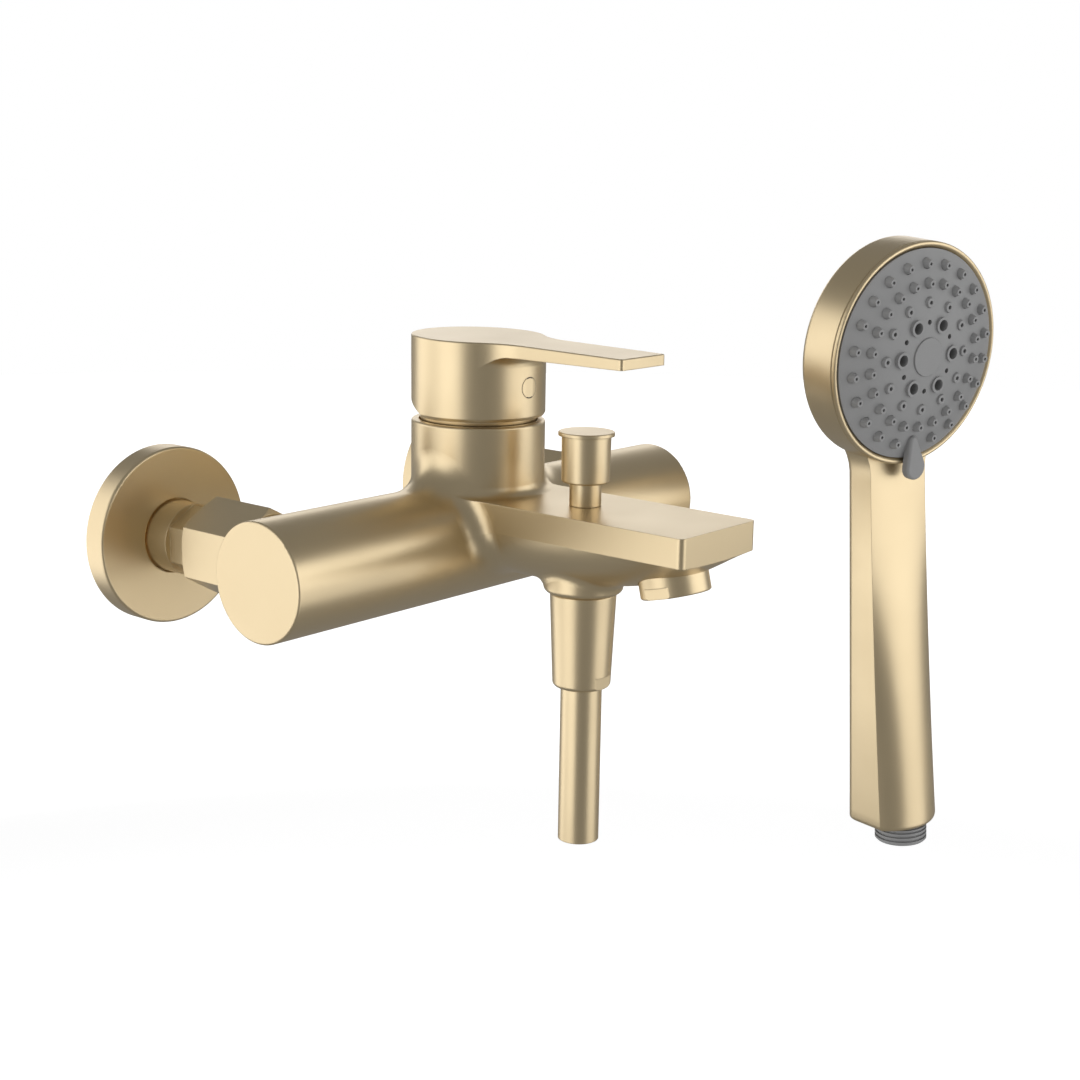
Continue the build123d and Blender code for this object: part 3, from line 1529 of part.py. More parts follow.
with BuildPart() as detent_spring:
    add(coil_form.part.moved(spring_plane.location))
write(detent_spring, "detent_spring")

with BuildPart() as spray_body:
    front = face_back + body_joint
    with BuildSketch(head_side):
        outline(
            (face_screw_dia / 2 + face_screw_clearance, front),
            (hub_wall_dia / 2, front),
            (hub_wall_dia / 2, body_chamber_depth),
            (mat_dia / 2 + mat_clearance, body_chamber_depth),
            (mat_dia / 2 + mat_clearance, front),
            (body_flange_dia / 2, front),
            (body_flange_dia / 2, body_front_edge),
            (body_neck_dia / 2, body_front_edge),
            (body_neck_dia / 2, body_back - body_flange),
            (body_flange_dia / 2, body_back - body_flange),
            (body_flange_dia / 2, body_back),
            (hub_dia / 2 + hub_clearance, body_back),
            (hub_dia / 2 + hub_clearance, hub_front - hub_clearance),
            (face_screw_dia / 2 + face_screw_clearance, hub_front - hub_clearance),
        )
    revolve(axis=head_axis)
    with BuildSketch(head_side):
        with Locations((detent_reach, detent_ball_depth)):
            Circle(detent_groove_dia / 2)
    revolve(axis=head_axis, mode=Mode.SUBTRACT)
    with BuildSketch(head_plane.offset(-body_back)):
        with PolarLocations(port_reach, 3, start_angle=-90 - selector_swing, angular_range=3 * selector_swing):
            Circle(port_dia / 2 - 0.5)
    extrude(amount=body_back - body_chamber_depth, mode=Mode.SUBTRACT)
write(spray_body, "spray_body")

with BuildPart() as face_ring:
    ring_depth = (body_front_edge + body_back - body_flange) / 2
    with BuildSketch(head_side):
        with Locations((face_ring_radius, ring_depth)):
            Circle(face_ring_section)
    revolve(axis=head_axis)
write(face_ring, "face_seal")

with BuildPart() as spray_face:
    with BuildSketch(head_side):
        with BuildLine():
            Polyline((0, -face_dome), (0, face_back), (face_r, face_back), (face_r, face_edge))
            ThreePointArc((face_r, face_edge), (face_r / 2, -face_height(face_r / 2)), (0, -face_dome))
        make_face()
    revolve(axis=head_axis)
    with BuildSketch(head_plane.offset(tab_lift)):
        with Locations(tab_root):
            Circle(tab_root_dia / 2)
        with Locations(tab_end):
            Circle(tab_end_dia / 2)
        make_hull()
    extrude(amount=tab_proud - tab_lift)
    tab_top = spray_face.faces().filter_by(GeomType.PLANE).sort_by(
        lambda face: (face.center() - head_centre).dot(head_back)
    )[0]
    fillet(tab_top.edges(), tab_edge)
    with BuildSketch(head_plane):
        with PolarLocations(jet_radius, jet_count):
            Circle(jet_lip_dia / 2)
    extrude(amount=face_height(jet_radius) + jet_lip_height)
    with BuildSketch(head_plane.offset(-face_back)):
        with PolarLocations(jet_radius, jet_count):
            Circle(jet_dia / 2)
        with PolarLocations(jet_radius, jet_count, start_angle=180 / jet_count):
            Circle(pin_hole_dia / 2)
        for radius, count, start, whole, height, hole in nozzle_rings:
            with PolarLocations(radius, count, start_angle=start, angular_range=360 * count / whole):
                Circle(nozzle_base_dia / 2 + nozzle_clearance)
        Circle(face_screw_dia / 2 + face_screw_clearance)
    extrude(amount=face_back + 2 * face_dome, mode=Mode.SUBTRACT)
    with BuildSketch(head_plane.offset(face_dome)):
        Circle(cap_dia / 2 + cap_clearance)
    extrude(amount=-cap_depth, mode=Mode.SUBTRACT)
    with BuildSketch(head_plane.offset(face_dome)):
        Circle(face_screw_head_dia / 2 + tab_clearance)
    extrude(amount=-face_dome - face_screw_seat, mode=Mode.SUBTRACT)
write(spray_face, "spray_face")

with BuildPart() as nozzle_mat:
    with BuildSketch(head_plane.offset(-face_back - mat_thickness)):
        Circle(mat_dia / 2)
        Circle(mat_centre_dia / 2, mode=Mode.SUBTRACT)
        with PolarLocations(jet_radius, jet_count):
            Circle(jet_dia / 2, mode=Mode.SUBTRACT)
        with PolarLocations(jet_radius, jet_count, start_angle=180 / jet_count):
            Circle(pin_hole_dia / 2, mode=Mode.SUBTRACT)
    extrude(amount=mat_thickness)
    for radius, count, start, whole, height, hole in nozzle_rings:
        surface = face_height(radius)
        rise = face_back + surface + height
        for k in range(count):
            turn = radians(start + k * 360 / whole)
            spot = Vector(radius * cos(turn), radius * sin(turn), 0)
            foot = head_plane.offset(-face_back).from_local_coords(spot)
            with BuildSketch(Plane(origin=foot, x_dir=head_right, z_dir=head_plane.z_dir)):
                Circle(nozzle_base_dia / 2)
            extrude(amount=face_back + surface)
            neck = head_plane.offset(surface).from_local_coords(spot)
            with BuildSketch(Plane(origin=neck, x_dir=head_right, z_dir=head_plane.z_dir)):
                Circle(nozzle_base_dia / 2)
            extrude(amount=height, taper=degrees(atan2((nozzle_base_dia - nozzle_tip_dia) / 2, nozzle_height)))
        with BuildSketch(head_plane.offset(-face_back - mat_thickness)):
            with PolarLocations(radius, count, start_angle=start, angular_range=360 * count / whole):
                Circle(hole / 2)
        extrude(amount=mat_thickness + rise, mode=Mode.SUBTRACT)
write(nozzle_mat, "nozzle_mat")

with BuildPart() as rim_ring:
    with BuildSketch(head_side):
        ring(head_dia, rim_inner_dia, 0, rim_thickness)
    revolve(axis=head_axis)
    fillet(
        rim_ring.edges().filter_by(GeomType.CIRCLE).sort_by(
            lambda edge: (edge.center() - head_centre).dot(head_back) - edge.radius
        )[0],
        rim_edge,
    )
    with BuildSketch(head_plane.offset(-rim_thickness)):
        with Locations(tab_root):
            Circle(tab_root_dia / 2 + tab_clearance)
        with Locations(tab_end):
            Circle(tab_end_dia / 2 + tab_clearance)
        make_hull()
    extrude(amount=2 * rim_thickness, mode=Mode.SUBTRACT)
write(rim_ring, "rim_ring")

with BuildPart() as face_screw:
    with BuildSketch(head_side):
        seat = face_screw_seat - face_screw_clearance
        outline(
            (0, seat - face_screw_head),
            (face_screw_head_dia / 2, seat - face_screw_head),
            (face_screw_head_dia / 2, seat),
            (face_screw_dia / 2, seat),
            (face_screw_dia / 2, face_screw_tip),
            (0, face_screw_tip),
        )
    revolve(axis=head_axis)
write(face_screw, "face_screw")

with BuildPart() as centre_cap:
    with BuildSketch(head_plane.offset(face_dome - cap_depth)):
        Circle(cap_dia / 2)
    extrude(amount=cap_depth + 0.4)
    fillet(centre_cap.edges().sort_by(lambda edge: (edge.center() - head_centre).dot(head_back))[0], 0.3)
write(centre_cap, "centre_cap")
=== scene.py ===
import math

import bmesh
import bpy
from bpy.props import FloatProperty, FloatVectorProperty, PointerProperty, StringProperty
from mathutils import Matrix, Vector


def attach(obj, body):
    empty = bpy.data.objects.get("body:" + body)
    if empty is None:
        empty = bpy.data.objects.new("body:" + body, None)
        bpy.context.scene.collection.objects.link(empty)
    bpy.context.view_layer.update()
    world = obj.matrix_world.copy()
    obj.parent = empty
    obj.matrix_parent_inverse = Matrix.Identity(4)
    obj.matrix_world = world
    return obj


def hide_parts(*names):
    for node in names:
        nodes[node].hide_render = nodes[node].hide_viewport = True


bl_info = {
    "name": "Bath Mixer Finish",
    "version": (1, 0, 0),
    "blender": (4, 5, 0),
    "location": "View3D > Sidebar > Bath mixer",
    "description": "Finishes, fine pieces and studio for a wall-mounted bath mixer with a hand shower",
    "category": "Object",
}

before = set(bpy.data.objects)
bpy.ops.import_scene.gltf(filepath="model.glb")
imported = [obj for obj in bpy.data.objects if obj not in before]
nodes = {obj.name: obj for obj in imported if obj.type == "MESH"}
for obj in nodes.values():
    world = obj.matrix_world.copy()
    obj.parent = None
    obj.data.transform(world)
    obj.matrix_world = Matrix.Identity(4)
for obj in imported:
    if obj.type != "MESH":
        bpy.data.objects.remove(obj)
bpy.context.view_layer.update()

# A millimetre in the frame's metres
MM = 0.001

# Camera: directions to the photograph's right and up, film width in millimetres, range of sight in metres
CAMERA_RIGHT = Vector((0.64731941, -0.76206108, 0.01550783)).normalized()
CAMERA_UP = Vector((0.15806435, 0.15411277, 0.97532811)).normalized()
FILM_WIDTH = 36
NEAREST_SIGHT = 0.01
FARTHEST_SIGHT = 50

# Studio round the mixer, in metres
SET_MIDDLE = Vector((0.04, -0.10, 0.0))
BOX_DISTANCE = 1.2
FLOOR_LEVEL = -0.72
FLOOR_RADIUS = 6.0
FLOOR_SIDES = 64
TENT_TOP = 1.72
TENT_RADIUS = 1.7
TENT_GAP = 0.02
TENT_SIDES = 48

# Range in which most of a noise texture's values lie
NOISE_LOW = 0.3
NOISE_HIGH = 0.7

# Satin gold in millimetres: the blasting is finer in life and is drawn this coarse so that it shows
GOLD_GRAIN = 0.25
GOLD_GRAIN_DEPTH = 0.02
GOLD_CLOUD = 28.0
GOLD_EDGE_ROUNDING = 0.45
GOLD_EDGE_SAMPLES = 4

# Satin gold's change of roughness from glossier to duller clouds, and its thin clear coat
GOLD_GLOSSIER = 0.02
GOLD_DULLER = 0.025
GOLD_COAT = 0.25
GOLD_COAT_ROUGHNESS = 0.3

# Moulded plastic: size of its clouds and depth of its spark texture in millimetres, and change of roughness
PLASTIC_CLOUD = 15.0
PLASTIC_SPARK_DEPTH = 0.03
PLASTIC_GLOSS_CHANGE = 0.05

# Turned metal in millimetres: the tool marks are finer in life and are drawn this coarse so that they show
BRASS_MARKS = 2.513
STEEL_MARKS = 1.885
MARK_DEPTH = 0.01

# At scale 1 a wave texture turns through this many radians in a metre
WAVE_TURN = 20

# Edges sharper than this many degrees stay crisp
SMOOTH_ANGLE = 30

# Hand shower: middle of its head's front plane in metres, and the directions to its right, up and front
HEAD = Vector((0.1647947, -0.1583587, 0.0562547))
HEAD_RIGHT = Vector((0.96491388, -0.25732792, 0.05218757)).normalized()
HEAD_UP = Vector((-0.06969883, -0.05939929, 0.99579807)).normalized()
HEAD_OUT = HEAD_RIGHT.cross(HEAD_UP)

# Head in millimetres, with depths behind its front plane
HEAD_RADIUS = 43.4
HEAD_DEPTH = 18.9
HEAD_FRONT = 1.9
HEAD_FRONT_EDGE = 0.3
HEAD_BACK_EDGE = 3.0
HEAD_EDGE_STEPS = 8
HEAD_SIDES = 192
CAVITY_RADIUS = 41.0
CAVITY_DEPTH = 14.9

# Grip: its axis lies this deep behind the head's front plane and comes forward by the slope on its way down
GRIP_DEPTH = 9.4
GRIP_SLOPE = 0.1058

# Grip's length, measured down from the head's middle, and its rounded lower end
GRIP_TOP = 34.0
GRIP_END = 193.2
GRIP_END_EDGE = 2.0
GRIP_SECTIONS = 48

# Grip's section at its top, what each size gains by the lower end, and how late the gain comes
GRIP_HALF_WIDTH = 15.0
GRIP_WIDTH_GAIN = 1.0
GRIP_CREASE = 0.5
GRIP_CREASE_GAIN = -5.6
GRIP_CREASE_POWER = 1.5
GRIP_SWELL = 0.5
GRIP_SWELL_GAIN = 6.8
GRIP_SWELL_POWER = 1.6
GRIP_GAIN_START = 46.0
GRIP_FRONT_STEPS = 24

# Grip's back, with its rounded edges
GRIP_BACK = 14.6
GRIP_BACK_EDGE = 4.0
GRIP_EDGE_STEPS = 6

# Towards the head the grip widens by this much on each side, beginning this far below the head's middle
GRIP_FLARE = 5.5
GRIP_FLARE_START = 48.0
GRIP_FLARE_POWER = 2

# Part of the lower end's rounding that also comes off the front's swell
GRIP_END_SWELL_LOSS = 0.5

# Rim of the spray head from its back edge round the front, as radius and height over the head's front plane
RIM_PROFILE = (
    (43.35, -1.55), (43.4, -0.9), (43.22, -0.42), (42.85, -0.12), (42.4, -0.02), (42.05, -0.12),
    (41.6, -0.5), (41.1, -0.95), (40.9, -1.2), (40.9, -1.55),
)
RIM_SIDES = 96

# Handle: its axis in metres, and in millimetres its round cap's radius and the ring of painted shade round
# its index plug
HANDLE_AXIS = Vector((0.0, -0.0805, 0.0))
HANDLE_RADIUS = 23.1
PLUG_HEIGHT = 53.45
PLUG_RING_INNER = 3.2
PLUG_RING_OUTER = 3.6
PLUG_RING_PROUD = 0.04
PLUG_RING_DEPTH = 0.3
PLUG_RING_SIDES = 64


def linear(hex_colour):
    """Turns an sRGB hex colour into the linear colour that the shaders take."""
    values = [int(hex_colour[i:i + 2], 16) / 255 for i in (1, 3, 5)]
    return tuple(v / 12.92 if v <= 0.04045 else ((v + 0.055) / 1.055) ** 2.4 for v in values) + (1.0,)


def node(tree, kind, settings=None, inputs=None):
    """Adds a node, sets its properties, and fills or links its inputs."""
    made = tree.nodes.new(kind)
    for name, value in (settings or {}).items():
        setattr(made, name, value)
    for key, value in (inputs or {}).items():
        socket = made.inputs[key]
        if isinstance(value, bpy.types.NodeSocket):
            tree.links.new(value, socket)
        else:
            socket.default_value = value
    return made


def new_material(name):
    """Starts a material with an empty node tree."""
    material = bpy.data.materials.new(name)
    material.use_nodes = True
    material.node_tree.nodes.clear()
    return material, material.node_tree


def finish_surface(tree, shader):
    """Ends a material's nodes with the shader that its surface shows."""
    node(tree, "ShaderNodeOutputMaterial", {}, {"Surface": shader})


def satin_gold(name, finish):
    """Champagne gold coating on a finely blasted surface, of brass or of plated ABS.

    The blasting gives broad soft highlights, the coating a warm pale gold that goes white at a glancing
    angle, and handling leaves faint cloudy changes of gloss. Polishing has rounded the edges a little.
    """
    material, tree = new_material(name)
    place = node(tree, "ShaderNodeTexCoord").outputs["Object"]
    grain = node(tree, "ShaderNodeTexNoise", {}, {
        "Vector": place, "Scale": 1 / (GOLD_GRAIN * MM), "Detail": 2.0,
    })
    cloud = node(tree, "ShaderNodeTexNoise", {}, {
        "Vector": place, "Scale": 1 / (GOLD_CLOUD * MM), "Detail": 3.0,
    })
    gloss = node(tree, "ShaderNodeMapRange", {}, {
        "Value": cloud.outputs["Fac"], "From Min": NOISE_LOW, "From Max": NOISE_HIGH,
        "To Min": finish.gold_roughness - GOLD_GLOSSIER, "To Max": finish.gold_roughness + GOLD_DULLER,
    })
    tint = node(tree, "ShaderNodeMix", {"data_type": "RGBA"}, {
        "Factor": cloud.outputs["Fac"], "A": linear(finish.gold), "B": linear(finish.gold_shade),
    })
    edges = node(tree, "ShaderNodeBevel", {"samples": GOLD_EDGE_SAMPLES}, {"Radius": GOLD_EDGE_ROUNDING * MM})
    bump = node(tree, "ShaderNodeBump", {}, {
        "Strength": 0.05, "Distance": GOLD_GRAIN_DEPTH * MM, "Height": grain.outputs["Fac"],
        "Normal": edges.outputs["Normal"],
    })
    shader = node(tree, "ShaderNodeBsdfPrincipled", {}, {
        "Base Color": tint.outputs["Result"], "Metallic": 1.0, "Roughness": gloss.outputs["Result"],
        "Normal": bump.outputs["Normal"], "Coat Weight": GOLD_COAT, "Coat Roughness": GOLD_COAT_ROUGHNESS,
    })
    finish_surface(tree, shader.outputs["BSDF"])
    return material


def moulded_plastic(name, colours, roughness, spark_mm, relief=0.15):
    """Injection-moulded plastic, rubber or fired ceramic, with the mould's fine spark texture in its gloss.

    One colour is even all over. A second colour lies in faint clouds in the first.
    """
    material, tree = new_material(name)
    place = node(tree, "ShaderNodeTexCoord").outputs["Object"]
    spark = node(tree, "ShaderNodeTexNoise", {}, {
        "Vector": place, "Scale": 1 / (spark_mm * MM), "Detail": 3.0,
    })
    shade = linear(colours[0])
    if len(colours) > 1:
        cloud = node(tree, "ShaderNodeTexNoise", {}, {
            "Vector": place, "Scale": 1 / (PLASTIC_CLOUD * MM), "Detail": 2.0,
        })
        shade = node(tree, "ShaderNodeMix", {"data_type": "RGBA"}, {
            "Factor": cloud.outputs["Fac"], "A": linear(colours[0]), "B": linear(colours[1]),
        }).outputs["Result"]
    gloss = node(tree, "ShaderNodeMapRange", {}, {
        "Value": spark.outputs["Fac"], "From Min": NOISE_LOW, "From Max": NOISE_HIGH,
        "To Min": roughness - PLASTIC_GLOSS_CHANGE, "To Max": roughness + PLASTIC_GLOSS_CHANGE,
    })
    bump = node(tree, "ShaderNodeBump", {}, {
        "Strength": relief, "Distance": PLASTIC_SPARK_DEPTH * MM, "Height": spark.outputs["Fac"],
    })
    shader = node(tree, "ShaderNodeBsdfPrincipled", {}, {
        "Base Color": shade, "Roughness": gloss.outputs["Result"], "Normal": bump.outputs["Normal"],
    })
    finish_surface(tree, shader.outputs["BSDF"])
    return material


def turned_metal(name, colours, roughness, marks_mm):
    """Bare turned or drawn metal: tool marks run round it and break up the reflection."""
    material, tree = new_material(name)
    place = node(tree, "ShaderNodeTexCoord").outputs["Object"]
    marks = node(tree, "ShaderNodeTexWave", {"bands_direction": "Z"}, {
        "Vector": place, "Scale": 2 * math.pi / (marks_mm * MM) / WAVE_TURN, "Distortion": 2.0, "Detail": 2.0,
    })
    tint = node(tree, "ShaderNodeMix", {"data_type": "RGBA"}, {
        "Factor": marks.outputs["Fac"], "A": linear(colours[0]), "B": linear(colours[1]),
    })
    bump = node(tree, "ShaderNodeBump", {}, {
        "Strength": 0.1, "Distance": MARK_DEPTH * MM, "Height": marks.outputs["Fac"],
    })
    shader = node(tree, "ShaderNodeBsdfPrincipled", {}, {
        "Base Color": tint.outputs["Result"], "Metallic": 1.0, "Roughness": roughness,
        "Normal": bump.outputs["Normal"],
    })
    finish_surface(tree, shader.outputs["BSDF"])
    return material


def dress(material, *names):
    """Gives the CAD's own pieces a finish."""
    for name in names:
        slots = nodes[name].data.materials
        slots.clear()
        slots.append(material)


def mesh_of(name, build):
    """Makes a mesh from code that adds faces to a bmesh, and turns the faces outwards."""
    mesh = bpy.data.meshes.new(name)
    shape = bmesh.new()
    build(shape)
    bmesh.ops.recalc_face_normals(shape, faces=shape.faces)
    shape.to_mesh(mesh)
    shape.free()
    return mesh


def add_object(name, data):
    """Puts a mesh, lamp or camera in the scene."""
    made = bpy.data.objects.new(name, data)
    bpy.context.scene.collection.objects.link(made)
    return made


def smooth_round(piece):
    """Smooths the shading of round surfaces and keeps sharp edges crisp."""
    mesh = piece.data
    mesh.shade_smooth()
    mesh.set_sharp_from_angle(angle=math.radians(SMOOTH_ANGLE))


def add_piece(name, build, material, body, slot, *replaced):
    """Makes a piece from mesh code, finishes it and lets it ride on a body."""
    piece = add_object(name, mesh_of(name, build))
    piece.data.materials.append(material)
    smooth_round(piece)
    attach(piece, body)
    if replaced:
        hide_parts(*replaced)
    return piece


def join_solid(piece, name, build, operation):
    """Adds a solid to a piece, or cuts it out, and leaves one mesh."""
    other = add_object(name, mesh_of(name, build))
    modifier = piece.modifiers.new(name, "BOOLEAN")
    modifier.operation = operation
    modifier.solver = "EXACT"
    modifier.object = other
    graph = bpy.context.evaluated_depsgraph_get()
    result = bpy.data.meshes.new_from_object(piece.evaluated_get(graph))
    piece.modifiers.remove(modifier)
    piece.data = result
    bpy.data.objects.remove(other)


def placed(origin, x_dir, z_dir):
    """Matrix with its origin, x axis and z axis where they are asked."""
    z_axis = Vector(z_dir).normalized()
    x_axis = (Vector(x_dir) - z_axis * Vector(x_dir).dot(z_axis)).normalized()
    y_axis = z_axis.cross(x_axis)
    return Matrix((
        (x_axis.x, y_axis.x, z_axis.x, origin[0]),
        (x_axis.y, y_axis.y, z_axis.y, origin[1]),
        (x_axis.z, y_axis.z, z_axis.z, origin[2]),
        (0, 0, 0, 1),
    ))


def band(shape, rings):
    """Joins each ring of points to the next."""
    for low, high in zip(rings, rings[1:]):
        for k in range(len(low)):
            after = (k + 1) % len(low)
            shape.faces.new((low[k], low[after], high[after], high[k]))


def solid_of_rings(shape, rings):
    """Joins rings of points into a closed skin with flat ends."""
    band(shape, rings)
    shape.faces.new(rings[0])
    shape.faces.new(rings[-1])


def quarter_round(radius, steps):
    """Steps round an edge, as what comes off the width and what comes off the depth."""
    turns = [math.radians(90 * k / steps) for k in range(steps + 1)]
    return [(radius * (1 - math.cos(turn)), radius * (1 - math.sin(turn))) for turn in turns]


def head_rings(shape, profile, sides):
    """Rings about the head's axis, from radii and heights over its front plane in millimetres."""
    place = placed(HEAD, HEAD_RIGHT, HEAD_OUT)
    rings = []
    for radius, height in profile:
        ring = []
        for k in range(sides):
            turn = 2 * math.pi * k / sides
            spot = Vector((radius * math.cos(turn), radius * math.sin(turn), height)) * MM
            ring.append(shape.verts.new(place @ spot))
        rings.append(ring)
    return rings


def build_drum(shape):
    """The round head, with a small front edge and a rounded back edge."""
    profile = [(HEAD_RADIUS - HEAD_FRONT_EDGE, -HEAD_FRONT), (HEAD_RADIUS, -HEAD_FRONT - HEAD_FRONT_EDGE)]
    for inward, forward in quarter_round(HEAD_BACK_EDGE, HEAD_EDGE_STEPS):
        profile.append((HEAD_RADIUS - inward, forward - HEAD_DEPTH))
    solid_of_rings(shape, head_rings(shape, profile, HEAD_SIDES))


def build_cavity(shape):
    """The room for the spray body, open at the front."""
    profile = [(CAVITY_RADIUS, 0.0), (CAVITY_RADIUS, -CAVITY_DEPTH)]
    solid_of_rings(shape, head_rings(shape, profile, HEAD_SIDES))


def build_rim(shape):
    """The rounded rim, dished towards the face."""
    rings = head_rings(shape, RIM_PROFILE, RIM_SIDES)
    band(shape, rings + rings[:1])


def grip_section(down, shrink):
    """Section of the grip: round back edges, flat sides, a crease each side and a swelling front."""
    share = max(down - GRIP_GAIN_START, 0) / (GRIP_END - GRIP_GAIN_START)
    flare = max(GRIP_FLARE_START - down, 0) / (GRIP_FLARE_START - GRIP_TOP)
    half = GRIP_HALF_WIDTH + GRIP_WIDTH_GAIN * share + GRIP_FLARE * flare ** GRIP_FLARE_POWER - shrink
    crease = GRIP_CREASE + GRIP_CREASE_GAIN * share ** GRIP_CREASE_POWER
    swell = GRIP_SWELL + GRIP_SWELL_GAIN * math.sin(math.radians(90 * share)) ** GRIP_SWELL_POWER
    swell -= shrink * GRIP_END_SWELL_LOSS
    back = GRIP_BACK - shrink
    points = []
    for inward, forward in quarter_round(GRIP_BACK_EDGE, GRIP_EDGE_STEPS):
        points.append((half - inward, back - forward))
    points += [(-side, depth) for side, depth in reversed(points)]

    # The front is an arc from crease to crease
    bow = (half ** 2 + swell ** 2) / (2 * swell)
    limit = math.asin(half / bow)
    for k in range(GRIP_FRONT_STEPS + 1):
        turn = limit * (2 * k / GRIP_FRONT_STEPS - 1)
        points.append((bow * math.sin(turn), crease - swell + bow * (1 - math.cos(turn))))
    return points


def build_grip(shape):
    """The grip, lofted through its sections, with a rounded lower end."""
    down_way = (-HEAD_UP + HEAD_OUT * GRIP_SLOPE).normalized()
    back_way = HEAD_RIGHT.cross(down_way).normalized()
    straight = GRIP_END - GRIP_END_EDGE - GRIP_TOP
    stations = [(GRIP_TOP + straight * k / GRIP_SECTIONS, 0.0) for k in range(GRIP_SECTIONS + 1)]
    for inward, upward in quarter_round(GRIP_END_EDGE, GRIP_EDGE_STEPS)[1:]:
        stations.append((GRIP_END - upward, inward))
    rings = []
    for down, shrink in stations:
        middle = HEAD + (HEAD_OUT * (GRIP_SLOPE * down - GRIP_DEPTH) - HEAD_UP * down) * MM
        ring = []
        for side, depth in grip_section(down, shrink):
            ring.append(shape.verts.new(middle + (HEAD_RIGHT * side + back_way * depth) * MM))
        rings.append(ring)
    solid_of_rings(shape, rings)


def build_index_ring(shape):
    """The ring round the index plug, a painted shade for the gap there, which follows the round front of the
    cap.
    """
    profile = (
        (PLUG_RING_INNER, -PLUG_RING_DEPTH), (PLUG_RING_INNER, PLUG_RING_PROUD),
        (PLUG_RING_OUTER, PLUG_RING_PROUD), (PLUG_RING_OUTER, -PLUG_RING_DEPTH),
    )
    rings = []
    for radius, proud in profile:
        ring = []
        for k in range(PLUG_RING_SIDES):
            turn = 2 * math.pi * k / PLUG_RING_SIDES
            side = radius * math.cos(turn)
            front = math.sqrt(HANDLE_RADIUS ** 2 - side ** 2) + proud
            spot = Vector((side, -front, PLUG_HEIGHT + radius * math.sin(turn))) * MM
            ring.append(shape.verts.new(HANDLE_AXIS + spot))
        rings.append(ring)
    band(shape, rings + rings[:1])


class MixerFinish(bpy.types.PropertyGroup):
    """Colours and gloss of the mixer's finishes."""

    gold: StringProperty(name="Gold", description="Champagne gold coating, sRGB hex", default="#E9D5AE")
    gold_shade: StringProperty(name="Gold, deeper", description="Its deeper clouds", default="#E5D0A8")
    gold_roughness: FloatProperty(
        name="Gold roughness", description="Roughness of the satin gold", default=0.36, min=0, max=1,
        subtype="FACTOR",
    )
    grey: StringProperty(name="Spray face", description="Moulded grey plastic, sRGB hex", default="#868686")
    nozzle: StringProperty(name="Nozzles", description="Silicone of the nozzles, sRGB hex", default="#8A8A8A")


class MixerStudio(bpy.types.PropertyGroup):
    """Camera, soft boxes, tent and floor."""

    lens: FloatProperty(name="Lens", description="Focal length in millimetres", default=59.295, unit="CAMERA")
    camera_place: FloatVectorProperty(
        name="Camera", description="Where the photograph was taken from", size=3, subtype="TRANSLATION",
        unit="LENGTH", default=(-0.450488, -0.489153, 0.135048),
    )
    soft_box: FloatProperty(name="Large boxes", description="Radiance of key box and right box", default=1.2)
    side_box: FloatProperty(name="Left box", description="Radiance of the left soft box", default=0.88)
    far_box: FloatProperty(name="Far box", description="Radiance of the far left soft box", default=1.16)
    low_box: FloatProperty(name="Low box", description="Radiance of the low right soft box", default=0.82)
    rear_box: FloatProperty(name="Rear box", description="Radiance of the rear soft box", default=1.35)
    tent_grey: FloatProperty(name="Tent", description="Radiance of the tent in reflections", default=0.23)
    tent_fill: FloatProperty(name="Tent fill", description="Its radiance for matt surfaces", default=0.62)
    floor_glow: FloatProperty(
        name="Floor glow", description="Radiance that the floor adds for the camera and in reflections",
        default=0.36,
    )


